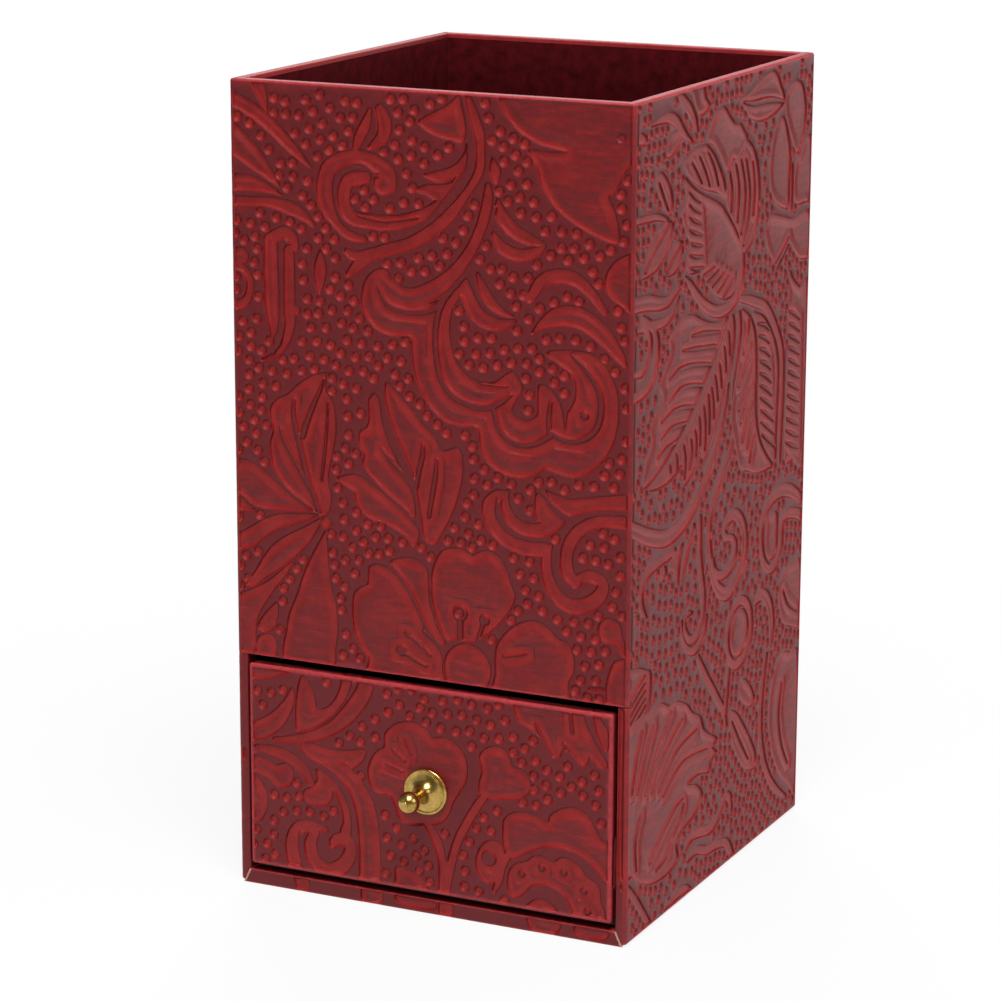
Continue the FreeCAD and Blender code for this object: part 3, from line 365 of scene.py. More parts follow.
# %% The drawing of the sides, from the front edge to the back
SIDE_DRAWING = """
# strokes and leaves at the top left
press 8 5.3 .4, 14 4.8 .9, 18 4.9 1.2, 22 6.3 1.3, 26 9.3 1, 30.5 11.5 .3 | 20 -2 .9, 25 2 1.2,
  29 4.7 1.4, 31.5 7.2 1.2, 33.5 9.8 .2
area 29 -2, 31 2.5, 33.5 6, 36.5 6.3, 40 4.8, 37.5 2.7, 36 -2
press 3 7.5 1.3, 5 8 1
area 16.3 12.8, 17 10.2, 19 8.4, 22.5 8, 24.5 9.3, 22.5 11.4, 19.5 13
area 11.2 16.3, 13.5 15.5, 16.5 17.1, 19.3 20, 20.2 23.5, 19 25.2, 16.3 24, 13.8 21.7, 11.8 19.3
ridge 13.2 17.7 .2, 15.5 20.5 .4, 18.3 24 .3
press 0 24 .8, 6 24.2 .8, 12 24.6 .8, 17.5 26 .5
area 16.5 26.2, 12 27, 8.5 30, 6.2 33.5, 4 36.3, 9 36.2, 14 35, 18.5 32, 20.6 28.3, 20.3 26.8, 18 26.3
ridge 20.5 26.3 .2, 16 29.3 .5, 11 32.3 .5, 6.5 35.3 .3
area 25.8 31.8, 23 31, 20.3 32.2, 18.3 34.3, 17 37.6, 20.5 38, 23.5 37.2, 25.7 35, 26.2 33
ridge 26 32.3 .2, 22 34.8 .5, 18 37.2 .3
# the tulip and its calyx
area 25.5 14.8, 28.5 14.1, 32 13, 37.8 12.8, 40.5 14, 43.5 16, 46.5 19, 49.2 22.5, 50.6 26, 49 25.8,
  45 24, 40 23, 35 21.5, 31 19.8, 27.5 17.3
ridge 31 15.8 .25, 34 18.3 .35, 36.5 20.8 .3 | 35 15 .2, 38.5 18.5 .35, 41 22 .3 | 40 14.8 .2,
  43.5 18.2 .4, 46 22.5 .3
area 38.6 12.4, 40.3 9.4, 42.5 7.2, 45.5 6, 48.5 6.2, 51.5 8.3, 54.5 10.3, 58 10.9, 60.3 12.7, 62 14.6,
  58 18.5, 54 18, 51 20.5, 47 17, 43 13.8
area 61.5 14.8, 65.5 16.7, 68 19.5, 69.7 24, 70.2 29, 69.3 33.5, 67 37, 63.5 39.3, 61.3 39.3, 57.5 34.3,
  53.5 30.5, 50.8 27.8, 50.3 24, 52 20.5, 55.5 18.5, 59.5 17.5
ridge 52.5 20.5 .3, 54.2 24.5 .5, 53.9 29.3 .4 | 56.2 19.5 .3, 58.4 25 .5, 57.8 32 .5 | 59.2 18.8 .3,
  62 25 .5, 61.8 31 .5, 60 35 .4
ridge 62.2 19 .3, 64.8 26 .5, 64.3 32.5 .5, 61.5 37.8 .4 | 66 20 .2, 67.6 26 .3, 67 32 .3
area 26.3 18.3, 29.5 20, 33 21.8, 38 23.7, 43 25.3, 48 27.3, 53 31, 57.5 34.9, 61.5 39.5, 60.5 43.5,
  57.5 47, 52 48.3, 46 46.8, 41 43.8, 38 41.3, 36 39.8, 31 39.5, 28.5 38.3, 27.6 36.5, 29.5 34.5,
  30.3 32.8, 28.3 30.8, 26 28, 24.7 25.2, 27 24, 27.3 21.3
comb7 29.5 21.8 .2, 32.5 23.4 .4, 36 24.9 .2 | 31 38.2 .2, 34 38.8 .4, 38.5 39.2 .2
comb5 37.5 41 .2, 41 40.8 .4, 44.5 40 .2 | 50 47.6 .2, 53 46.3 .4, 55.5 44.3 .2
press 27.5 39.5 .3, 31 42 1, 35 45 1.2, 40 48 1.4, 46 50 1.4, 52 50.3 1.4, 57 48.8 1.3, 60 45.5 1.2,
  60.8 42 1, 60 40.5 .4
press 0 41.2 1.6, 8 41.8 1.7, 13 42.8 1.5, 18 43.2 1.2, 21 42.3 1.1, 25 40.8 .9 | 9 46.3 .6,
  13 47.2 1.1, 18 47.1 1, 22 45.6 .7, 24.3 43.3 .3
press 5 45 1.1, 9.5 46.8 1, 12.3 49.5 1.1, 12.9 53.5 1.2, 11 57.7 1.2, 7 60 1.2, 1 60.7 1.1 | 3 46.8 .6,
  7 47.2 1, 9 50 1.1, 8.5 53 1.1, 5.5 55.5 1.1, 2 55.8 .8
# the great leaf, upper and lower half
area 19 51.6, 22 49.9, 25.5 48.6, 29 48, 33 48.5, 37 50, 42 51.6, 47 52.4, 52.3 52.2, 50.6 54.5,
  48 57.3, 44.5 60.7, 40 64, 35 67.9, 30 71.2, 25 74, 20 76.7, 13.5 79.3, 8 80.8, 6 80.2, 6.8 77.5,
  8.3 74.8, 10.6 72.2, 9.8 69, 12.6 65.8, 16.7 63.6, 14.2 60.6, 17.2 57.3, 20.2 54
ridge 32.5 53 .2, 39 53.6 .5, 48.5 54.9 .3 | 27.5 55.3 .2, 36 56.4 .5, 46 57.6 .4 | 20.5 60.2 .2,
  26 59.1 .5, 34 59.6 .5, 43.5 61.2 .4
ridge 20.7 65 .2, 26 63.5 .5, 32 63.7 .5, 39.5 65.1 .4 | 16.5 68.7 .2, 22 67.6 .5, 28 67.7 .5,
  34 68.7 .4 | 16.5 72.2 .2, 22 71 .5, 29.5 71.4 .4 | 14.8 75.9 .2, 19 74.9 .5, 25 74.2 .3
area 52.5 53.8, 55.3 52.2, 56.7 54.5, 56.6 59, 55 63.5, 52 67.5, 50.3 70.3, 48 74, 45.3 77.5, 42 80.6,
  39.5 81.8, 38.3 79.3, 36 81.5, 33 83.6, 28.8 84.8, 28 80.3, 25 81.2, 20 82.3, 14 82.5, 9 81.5,
  15 79.8, 21 77.6, 27 74.5, 33 71.2, 38.5 67.2, 43.5 63, 48 58.8
ridge 29 76 .2, 30.2 79.5 .45, 29.6 83.5 .25 | 33 75.5 .2, 33.8 78.5 .45, 32.5 82 .25 | 35.3 74 .2,
  36.3 76.8 .45, 35.8 79.8 .25 | 37.5 71.5 .2, 38.3 74.5 .45, 38 78 .25
ridge 40 69.5 .2, 41.3 74.5 .45, 41 79.5 .25 | 42.5 67.5 .2, 43.5 72 .45, 43.3 76.5 .25 | 44.3 66.3 .2,
  45.7 70 .45, 46 73.5 .25 | 46.3 64 .2, 47.6 67.3 .45, 48 70 .25
ridge 48.7 61.8 .2, 49.8 65 .45, 50.2 67.5 .25 | 51.3 58.5 .2, 52.3 61.5 .45, 52.6 64.5 .25 |
  53.5 55.5 .2, 54.5 58 .45, 54.6 61 .25 | 25 77.2 .2, 25.6 79 .45, 25.3 80.5 .25 | 21.5 78.8 .25,
  21.8 80.5 .25
# the pair of long leaves on the right
press 60 49.5 .8, 65 50.6 1.1, 70 52 1.2, 75 53.7 1.2, 79 56.5 1.2, 83 60.8 1.2, 86 65.5 1.2, 87 71 1.2,
  86.8 78 1.2, 86.3 86 1.1, 86.5 92 .6
area 58.3 52.3, 61 52, 64 53.2, 67 55.3, 69.3 58.5, 70.2 62.5, 70.7 68, 70.6 74.5, 71.6 79.6, 73.8 84,
  78 88.3, 82 91.5, 78 91.8, 72 91.4, 67 89.8, 62.6 88.6, 60 85.5, 57.7 80.5, 56 77, 55.6 72, 56.3 67,
  57.8 62, 58.2 57, 57.3 53
ridge 60.5 52.3 .3, 61.2 57 .5, 59.8 62.5 .5, 57.5 67.5 .5, 55.8 72 .3
ridge 66 55 .3, 65.5 59 .5, 62.8 62.3 .3 | 68 60.8 .3, 66 64.3 .5, 60.3 69.2 .3 | 69 65 .3, 66 69.3 .5,
  60.8 74.7 .3 | 69.3 70 .3, 65.5 74 .5, 62 77.8 .3
ridge 69.3 74.5 .3, 66 77.6 .5, 63.3 82.3 .3 | 69.6 79 .3, 67.5 82 .4, 66.3 84.5 .2 | 71 82.3 .3,
  69 85.2 .4, 68 88 .2
area 67.5 53.9, 71 54.6, 75 56.2, 78.5 59, 82 62.8, 84 67, 84.6 72, 84.2 79, 83.8 86, 83.5 91, 79 88,
  75 84, 73 80, 72.3 75, 72.2 68, 71.7 62, 70.2 57.8
comb10 71.3 57 .2, 75.5 58 .5, 78 59.5 .3 | 75 83 .2, 79 85 .5, 83.5 87.5 .3
# flower and leaves at the top right
area 85 8, 87 6, 91 5, 95 6, 97.3 9, 98.2 13, 97.5 17, 95.8 20.3, 93 21.7, 90 18.5, 87 14.8, 85.3 12
area 83.3 12.2, 80 13.2, 78 16, 76.4 20, 76 24, 77 28, 80 31, 85 33, 88.2 33, 88.6 27, 89 22, 87.5 17.3,
  85.6 13.8
area 93 23, 96 21.8, 99 18.5, 103 20, 103 33, 99 33.5, 94 33.5, 91.7 31, 91.6 27
press 90 24 .5, 90 29 .8, 89.8 34 .8
area 57.5 5.5, 63 4.5, 69 2.7, 75 1.3, 79 2, 82 5, 84.5 8.7, 80 10.6, 75 11.5, 70 11.7, 65 10.8, 61 8.5
ridge 60 6.5 .3, 66 7.4 .6, 72 7.5 .7, 78 8 .6, 84 9 .3
area 74 36.5, 76 34.3, 79 33.6, 85 34.8, 92 36.2, 103 36, 103 46, 96 46, 90 42, 86 44, 82 46.5, 79 44,
  76 41
ridge 80.5 45.5 .3, 85 43.5 .6, 89.5 40.3 .3
area 90 48.5, 93 50.5, 97.5 53, 103 54.5, 103 93.5, 95 93, 89.8 92, 90 80, 90.3 70, 90 60
comb12 90.7 57.5 .2, 94 58.5 .5, 98 60.5 .2 | 90.7 88 .2, 94.5 89.5 .5, 99 91 .2
# the long stem and its spirals
press 0 87.8 1.6, 5 90 1.8, 12 92.6 1.9, 20 94.3 1.9, 28 93.3 1.8, 34 91 1.7, 40 87 1.6, 45 82.7 1.5,
  49 77.3 1.3, 52 71.5 1, 53.5 67.5 .4
press 57 80.5 .8, 53.5 85 1.3, 48 90 1.4, 44.3 95 1.4, 43.6 100.5 1.4, 45.5 107 1.4, 49.5 112.5 1.6,
  55 115.2 1.7, 60.5 113.5 1.8, 64.8 109.5 1.8, 65.5 104.5 1.7, 63 100.3 1.6, 59 98 1.4, 55 98.3 1.3,
  53 100.3 1, 54.5 102.3 1, 57.5 103 .9, 59.8 105 1, 59 108.3 1.2, 56 110 1.2, 51.5 110.2 1.1,
  47.8 108.3 .9, 46.5 105.5 .6
press 24 98.3 1, 20 98.4 1.2, 15 98.6 1.3, 10 99.4 1.3, 7 101.3 1.3, 6 104.3 1.2, 7 107.3 1,
  9.3 109.2 .3
pit 18.2 101.8 1.7
area 21 101, 24 99, 28.7 97.4, 27.3 101, 26.8 104.5, 26.3 106.6, 25 105, 24 103, 22 102.3
press 34.5 95.5 1.1, 31.3 99.5 1.1, 29.3 103.5 1, 28.3 106.5 .3
press 38 94.5 1.3, 38.3 98 1.2, 38.4 102 1.2, 39.5 106.5 1.2, 41 111 1.1, 41.3 115 1.1, 40 118.6 1.1,
  37 120.7 1.1, 33.8 120.4 1, 31.4 118.3 .9, 30.7 115.8 .8, 32.3 114.2 .7, 34.8 114.6 .3
press 43 117.5 .7, 41.8 121 .9, 38.8 123.3 1, 35 123.3 1, 31.5 121.5 1, 29.3 118.5 .9, 28.7 115 .5
pit 63.2 126.3 8.5
boss 63.2 126.3 6.1
pit 63.2 126.3 5.5
press 101 103.5 1.4, 95 100.5 1.6, 89 99 1.6, 83 99.3 1.5, 78.5 101.3 1.4, 76 105 1.2, 76 109.5 1.2,
  78 113.5 1.2, 81.8 116 1.2, 86 115.3 1.2, 88.5 112 1.2, 88.7 108 1.2, 90.5 105.5 1.2, 96 105.8 1.3,
  103 108 1.4
area 79.5 104, 82.5 102.8, 85.8 103.6, 86 108, 85.8 112, 83 114, 80 112.8, 78.7 109.5
# leaves and strokes of the lower third
area -2 120, 4 119, 9 120.5, 12 122, 12 127, 10 131, 7 134, -2 136
comb6 9.5 122 .2, 5 124 .4, -1 127 .2 | 10 130.5 .2, 6 132.5 .4, 1 134.5 .2
area -2 132.5, 3.2 131.2, 7.5 130.3, 12.5 130.6, 17.9 130.3, 22.8 132.3, 27.1 132.5, 32.7 134.7,
  36.5 137.6, 41 139.9, 43.6 143.7, 50.8 147.6, 48.5 149, 50.9 151, 47.7 152, 46.4 154.3, 40 153,
  34.3 153.5, 39 155, 42.2 157.3, 42.4 159.4, 38.2 161.8, 32 163.2, 28.2 165.4, 28.9 169, 23.4 170.7,
  15 170.3, 8 168, 3.5 165, -2 162
ridge 3 146.5 .2, 5.5 140 .4, 8.5 134 .3 | 6.3 147.5 .2, 10.3 140.8 .45, 14.6 134.6 .3 | 10.5 149 .2,
  16.9 141.4 .45, 24.6 134.3 .3 | 14 149.5 .2, 21.7 142.4 .45, 30.5 137.6 .3 | 18 150.5 .2,
  27.9 144.3 .45, 39 142.4 .3 | 20.5 152.3 .2, 31 147.8 .4, 45.5 148.8 .3
ridge 31.8 156.3 .3, 28 157 .5, 23.2 159.4 .5, 18.4 162 .5, 13.6 165.2 .3 | 32.3 157.6 .3,
  30.5 160.8 .5, 25.5 163.8 .5, 22.8 167 .5, 17.3 168.2 .3 | 8.5 153 .3, 5.5 158 .5, 6 164.5 .3
press 0 166.5 1, 4.5 170 1, 9 174.7 1, 14 180 1
# strokes, bud and drop beside the fan
press 33.5 168.3 .6, 36.5 166.4 1.1, 41.5 166.9 1.2, 47.6 168 1.2, 52 167 1.1, 54.6 164.8 1,
  57 163.2 1.1, 59.6 164.6 1.1, 60.4 168 .8
press 34.5 171.3 .6, 39.7 170.6 1, 46.2 172.6 1.1, 53 173.3 1.1, 58.5 175 1.2, 62.5 180 1.2
area 58 143.5, 62.7 145, 67.6 149.4, 72.6 154.6, 75.5 159.1, 74 161.6, 69.3 160.5, 64.4 156.7,
  60.9 152.5, 58.8 147.8
ridge 60.5 146.5 .2, 65.3 152 .45, 71 158.3 .3
area 65.9 138, 70.1 140, 73.8 144.4, 71.5 146, 66.9 144, 63.9 140.6
press 38.8 126 1, 44 131.8 1.2, 50.6 138.3 1.2, 54.6 142.5 1.1, 56.2 146.5 .8 | 57.3 133.5 .7,
  56.4 138.4 1, 55.6 143.2 .9
press 22 179.5 1, 28 177.3 1.2, 34 178 1.2, 38 181 1
# broad bands toward the back edge
press 80.5 136.5 1, 78.8 142 1.3, 77.8 149 1.3, 78.6 156.5 1.3, 82 164 1.2, 88 170.3 1.1, 96 175.3 .6
area 87 141, 91 138.5, 96 139.5, 103 143, 103 174, 97 172.3, 90 167, 85.5 160.5, 83.3 153.5, 84 146.5
ridge 92 146 .3, 90.5 153 .5, 92.5 160.5 .5, 97 167 .3
press 73 121.8 .8, 77.5 121 1.5, 82 124.3 1.7, 84 129.5 1.5, 83.5 134 .8
area 88 121.5, 92 118.5, 97 118, 103 119.5, 103 134, 97 133.5, 92 131.5, 89 127.5
ridge 91.5 123.5 .3, 95 127.5 .5, 100.5 130.5 .3
# pebbles of the ground
dots 5 12.5, 11.5 13, 8.5 16, 8 19, 7.5 22, 22 13.5, 22.5 17, 22.3 20.5, 22 23.3, 25 12, 12 10, 29 7.8,
  43.5 2.5, 37.5 8.5, 35.5 11
dots 62.5 11.5, 66.3 12.8, 72.5 13.2, 77 13, 68.8 15.5, 71.5 16, 75.5 15.8, 70.5 18.5, 74.3 18.8,
  72.5 22, 72.3 25.3, 74 28, 71 30, 74 31.3, 77.3 32.3, 71.5 33.5, 74.5 33.5, 71 36.5, 68.5 38.7,
  72 39.7, 66.5 42, 70 42.3, 74 43, 67.5 45, 71 45.5, 54.8 7.5
dots 16 49.7, 18 51.5, 26 46, 31 46.3, 7.5 63, 11.7 63, 5.5 66.3, 9.7 66, 5.3 69.5, 6.3 73, 4.2 76.5,
  5.5 86, 9 88, 12.3 88, 10 84.8, 17 87.3, 21.3 87.3, 18.5 89.5, 22.5 90, 27 89.3, 31 87.7, 33.3 86,
  15 83.8, 81 54
dots 11.5 103.5, 14.5 101, 16 104.5, 12 106, 15.5 108, 18.8 109, 22 109.5, 25 111, 28 111.7, 22.5 106,
  12.3 110.5, 15.3 111.8, 19 112.7, 22 113, 25.7 114.3, 12.5 115, 16 115.8, 19.5 116.2, 22.7 116.3,
  11.8 118.7, 15.7 119, 19.3 119.7, 22.7 120, 25.7 120, 16.3 122, 20 123, 23.5 122.8, 27 122.8,
  17 125.3, 21 125.5, 25 125.5, 28.5 126.3, 31.5 127, 36 126.7, 14 128, 18.5 128.3, 22.5 129, 26 128.8,
  29.5 129.8, 33.3 129.7, 37.7 130.5, 36 133, 39.3 134
dots 34.5 101, 32.5 104, 35.5 106, 31.2 107.8, 35.7 109.3, 31.8 110.8, 37 113, 45.5 119.7, 48 122.3,
  44.3 123.3, 50 126.3, 47 96, 50 94, 45.7 99.5, 49.5 98.8, 47.3 102.3, 50.5 105.5, 51 120, 3.5 114
dots 54 93, 58 92.5, 61.5 93.8, 66 94.3, 52.5 96, 67 98, 71 96.3, 74.3 96, 72 99.3, 69 100.3,
  71.5 102.3, 69.5 106.5, 70.5 109.5, 67.5 111.3, 71 112.8, 64.5 115.5, 70 116.5, 74.5 116.3, 60.5 116,
  57 118.3, 67.5 117.5, 76.5 118.7, 54.3 120, 52 123.5, 52 128
dots 42 135, 45.5 137.5, 49 141.5, 47 158.5, 50 158, 45.5 162.3, 49 161.5, 50.5 164.2, 13.5 174.3,
  17.5 174.8, 22 174.3, 15.5 177.8, 19.5 177.5, 23.5 177.3, 29.5 172.5, 33 173.8, 36.5 174.5, 42 174.8,
  26.5 174.3
"""

# %% [markdown]
# ## From words to depth
# A drawing could be stamped as an image, but an image has one resolution and soft edges. Here each
# word becomes a distance: how far a spot lies inside the pressed shape, in millimetres. Distances
# can be cut by veins and joined to other shapes, and any wall shape can be made from them later.

# %% Read a drawing
READING_RISE = 1.6
READING_MIDDLE = 88.0


def read_drawing(text, rise=0.0):
    """Lists the words of a drawing in order, each with the points of its shapes.

    A drawing read off a face that leans away is too low in the middle; `rise` lifts it there.
    """
    words = []
    for line in text.strip().replace("\n  ", " ").splitlines():
        if line.startswith("#"):
            continue
        word, rest = line.split(" ", 1)
        shapes = []
        for shape in rest.split("|"):
            points = np.array([[float(v) for v in p.split()] for p in shape.split(",")])
            points[:, 1] -= rise * (1.0 - ((points[:, 1] - READING_MIDDLE) / READING_MIDDLE) ** 2)
            shapes.append(points)
        words.append((word, shapes))
    return words


drawings = {
    "front": read_drawing(FRONT_DRAWING, READING_RISE),
    "drawer": read_drawing(DRAWER_DRAWING, READING_RISE),
    "side": read_drawing(SIDE_DRAWING),
}
print({name: sum(len(shapes) for _, shapes in words) for name, words in drawings.items()})

# %% A smooth line through the points


def smooth_line(points, closed=False, pieces=8):
    """Catmull-Rom curve through the points, each with any number of values."""
    if len(points) < 2:
        return points
    if closed:
        held = np.concatenate([points[-1:], points, points[:2]])
    else:
        held = np.concatenate([points[:1], points, points[-1:]])
    t = np.arange(pieces)[:, None] / pieces
    curve = []
    for a, b, c, d in zip(held, held[1:], held[2:], held[3:]):
        bend = (2 * a - 5 * b + 4 * c - d) * t + (3 * b - a - 3 * c + d) * t * t
        curve.append(b + 0.5 * t * ((c - a) + bend))
    if not closed:
        curve.append(points[-1:])
    return np.concatenate(curve)


def ease(value, low, high):
    """Smooth step from 0 at low to 1 at high."""
    t = np.clip((value - low) / (high - low), 0.0, 1.0)
    return t * t * (3.0 - 2.0 * t)


# %% A field of distances
REACH = 1.6
OUTSIDE = -4.0
FAR = 99.0


class Relief:
    """Signed distance into the pressed shapes on a regular field of a sheet's flat pattern."""

    def __init__(self, x_span, y_span, step):
        self.step = step
        self.x = np.arange(x_span[0], x_span[1] + step, step)
        self.y = np.arange(y_span[0], y_span[1] + step, step)
        self.depth = np.full((len(self.y), len(self.x)), OUTSIDE, np.float32)

    def window(self, low, high):
        """The part of the field between two corners, with its coordinates."""
        i = np.searchsorted(self.x, [low[0], high[0]])
        j = np.searchsorted(self.y, [low[1], high[1]])
        view = self.depth[j[0] : j[1], i[0] : i[1]]
        x = self.x[i[0] : i[1]].astype(np.float32)
        return view, x[None, :], self.y[j[0] : j[1], None].astype(np.float32)

    def stroke(self, points, raised):
        """Press or leave standing a tapering stroke."""
        line = smooth_line(points) if len(points) > 1 else np.concatenate([points, points])
        for (ax, ay, aw), (bx, by, bw) in zip(line, line[1:]):
            edge = max(aw, bw) + REACH
            low = (min(ax, bx) - edge, min(ay, by) - edge)
            view, x, y = self.window(low, (max(ax, bx) + edge, max(ay, by) + edge))
            if view.size == 0:
                continue
            dx, dy = bx - ax, by - ay
            t = np.clip(((x - ax) * dx + (y - ay) * dy) / (dx * dx + dy * dy + 1e-9), 0.0, 1.0)
            inside = aw + (bw - aw) * t - np.hypot(x - ax - t * dx, y - ay - t * dy)
            if raised:
                np.minimum(view, -inside, out=view)
            else:
                np.maximum(view, inside, out=view)

    def area(self, points):
        """Press a closed shape."""
        line = smooth_line(points, closed=True, pieces=6)
        low, high = line.min(0) - REACH, line.max(0) + REACH
        view, x, y = self.window(low, high)
        if view.size == 0:
            return
        nearest = np.full(view.shape, FAR, np.float32)
        within = np.zeros(view.shape, bool)
        for (ax, ay), (bx, by) in zip(line, np.roll(line, -1, 0)):
            dx, dy = bx - ax, by - ay
            t = np.clip(((x - ax) * dx + (y - ay) * dy) / (dx * dx + dy * dy + 1e-9), 0.0, 1.0)
            gap = (x - ax - t * dx) ** 2 + (y - ay - t * dy) ** 2
            np.minimum(nearest, gap, out=nearest)
            if ay != by:
                crossed = (ay > y) != (by > y)
                within ^= crossed & (x < ax + (y - ay) * dx / dy)
        inside = np.where(within, 1.0, -1.0) * np.sqrt(nearest)
        np.maximum(view, inside.astype(np.float32), out=view)

    def draw(self, words, place):
        """Work a whole drawing into the field. Place turns drawing points into field points."""
        for word, shapes in words:
            if word.startswith("comb"):
                count = int(word[4:])
                first, last = shapes
                mixes = [k / (count - 1) for k in range(count)]
                shapes = [first * (1 - mix) + last * mix for mix in mixes]
                word = "ridge"
            for shape in shapes:
                points = shape.copy()
                points[:, :2] = place(shape[:, :2])
                if word == "area":
                    self.area(points)
                elif word != "dots":
                    self.stroke(points, raised=word in ("ridge", "boss"))

    def at(self, x, y):
        """The distance at any pattern points, read between the field's own points."""
        u = np.clip((x - self.x[0]) / self.step, 0, len(self.x) - 1.001)
        v = np.clip((y - self.y[0]) / self.step, 0, len(self.y) - 1.001)
        i, j = u.astype(int), v.astype(int)
        u, v, d = u - i, v - j, self.depth
        top = d[j, i] * (1 - u) + d[j, i + 1] * u
        return top * (1 - v) + (d[j + 1, i] * (1 - u) + d[j + 1, i + 1] * u) * v


# %% Depth and colour that belong to a distance
PRESS_DEPTH = 0.35
WALL_WIDTH = 0.38
PILLOW_HEIGHT = 0.2
PILLOW_SPAN = (0.8, 2.6)
INK_SPAN = (-0.25, 0.0)


def pressed(distance):
    """Sunk depth in mm, ink share and pillow share: steep walls, and wide areas that swell."""
    wall = ease(distance, -WALL_WIDTH / 2, WALL_WIDTH / 2)
    swell = ease(distance, *PILLOW_SPAN)
    return PRESS_DEPTH * wall - PILLOW_HEIGHT * swell, ease(distance, *INK_SPAN), swell


# %% Pebbles: the small round dimples of the ground
PEBBLE_RADIUS = 1.3
PEBBLE_GAP = 1.8
FILL_PITCH = 2.72
FILL_STEP = 0.4
FILL_CLEAR = 1.35
FILL_JITTER = 0.15
rng = np.random.default_rng(17)


def pebble_spots(relief, words, place, span, fill=True):
    """Pattern points of the pebbles: those of the drawing, then a loose lattice in the gaps."""
    (x0, x1), (y0, y1) = span
    drawn = [place(shape) for word, shapes in words if word == "dots" for shape in shapes]
    spots = []
    for spot in (spot for shape in drawn for spot in shape):
        if all(np.hypot(*(spot - other)) > PEBBLE_GAP for other in spots):
            spots.append(spot)
    if fill:
        x, y = np.meshgrid(np.arange(x0, x1, FILL_STEP), np.arange(y0, y1, FILL_STEP))
        free = relief.at(x, y) < -FILL_CLEAR
        for spot in spots:
            free &= np.hypot(x - spot[0], y - spot[1]) > FILL_PITCH
        while free.any():
            row, column = np.unravel_index(np.argmax(free), free.shape)
            spot = np.array([x[row, column], y[row, column]])
            free &= np.hypot(x - spot[0], y - spot[1]) > FILL_PITCH
            spots.append(spot + rng.uniform(-FILL_JITTER, FILL_JITTER, 2))
    spots = np.array(spots)
    keep = (spots > (x0, y0)).all(1) & (spots < (x1, y1)).all(1)
    return spots[keep]


# %% [markdown]
# ## Folding the sheet
# A real case maker glues the sheet flat, turns its edges over the rim and the foot, and mitres the
# corners. The same moves make the mesh: one folded line is the section from the inside of the rim
# down to the foot, another is the path round the box in plan, and every pair of their points is
# one vertex. A displace modifier on a box could push a flat grid, but it would not give the turned
# edges or the sheet's thickness.

# %% A folded line
COARSE = 6.0
FINE_EDGE = 2.0


class FoldedLine:
    """Straight runs with rounded left-hand corners of 90 degrees, cut into short steps.

    The outward side is on the right of the travel. A corner of radius 0 only marks a place on a
    straight line.
    """

    def __init__(self, corners, radii, spacing, arc_step):
        corners = np.array(corners, float)
        radii = [0.0, *radii, 0.0]
        nodes = []
        travelled = 0.0
        for i in range(len(corners) - 1):
            start, end = corners[i], corners[i + 1]
            span = np.hypot(*(end - start))
            along = (end - start) / span
            out = np.array([along[1], -along[0]])
            first = start + along * radii[i]
            length = span - radii[i] - radii[i + 1]
            low, high = radii[i] or np.inf, radii[i + 1] or np.inf
            steps = max(1, math.ceil(length / spacing[i] - 1e-6)) if length > 1e-6 else 0
            every = max(1, round(COARSE / spacing[i]))
            for k in range(steps + 1 if steps else 0):
                if k == 0 and i and radii[i] == 0.0:
                    continue
                a = length * k / steps
                clear = min(a, length - a)
                stop = k in (0, steps) or k % every == 0 or clear < FINE_EDGE
                nodes.append((0, *first, *along, *out, a, length, low, high, travelled + a, 0, stop))
            travelled += length
            r = radii[i + 1]
            if r == 0.0:
                continue
            after = (corners[i + 2] - end) / np.hypot(*(corners[i + 2] - end))
            out_after = np.array([after[1], -after[0]])
            centre = end - along * r + after * r
            count = max(3, math.ceil(r * math.pi / 2 / arc_step))
            beyond = np.hypot(*(corners[i + 2] - end)) - r - (radii[i + 2])
            for k in range(0 if steps == 0 else 1, count + (1 if beyond < 1e-6 else 0)):
                turn = math.pi / 2 * k / count
                n = math.cos(turn) * out + math.sin(turn) * out_after
                side = 1.0 if steps == 0 else -1.0
                joint = travelled + (r * math.pi / 2 if steps == 0 else 0.0)
                t = travelled + r * turn
                nodes.append((1, *centre, *(out + out_after), *n, 0, r, joint, side, t, r, True))
            travelled += r * math.pi / 2
        table = np.array(nodes, float)
        self.arc = table[:, 0] > 0
        self.base, self.along, self.out = table[:, 1:3], table[:, 3:5], table[:, 5:7]
        self.a, self.length, self.low, self.high = table[:, 7:11].T
        self.travel, self.radius = table[:, 11], table[:, 12]
        self.stop = np.flatnonzero(table[:, 13])
        self.count = len(table)

    def reached(self, inset, at=None):
        """Distance along each straight run at an inset, held back from its mitres."""
        at = inset if at is None else at
        low_at, high_at = np.maximum(at - self.low, 0), self.length - np.maximum(at - self.high, 0)
        low, high = np.maximum(inset - self.low, 0), self.length - np.maximum(inset - self.high, 0)
        held = np.where((self.a < low_at + 1e-9) & (low_at > 0), low, self.a)
        return np.where((self.a > high_at - 1e-9) & (high_at < self.length), high, held)

    def place(self, inset, at=None):
        """Points at an inset (rows x 1 or rows x columns), where `at` decides what a mitre holds."""
        flat = self.reached(inset, at)[..., None] * self.along + self.base
        flat = flat - inset[..., None] * self.out
        r = self.length
        short = np.maximum(r - inset, 0)[..., None]
        past = np.maximum(inset - r, 0)[..., None]
        turned = self.base + short * self.out - past * self.along
        return np.where(self.arc[:, None], turned, flat)

    def pattern(self, inset):
        """Travel of each point, held at the mitres."""
        flat = self.travel + self.reached(inset) - self.a
        past = np.maximum(inset - self.length, 0.0)
        joint = np.where(self.arc, self.low, 0.0)
        held = joint + np.where(self.arc, self.high, 0.0) * past
        return np.where(self.arc, np.where(past > 0.0, held, self.travel), flat)


# %% Patches, welded into one closed sheet
WELD_GRID = 2000
WELD_OFFSET = 0.137


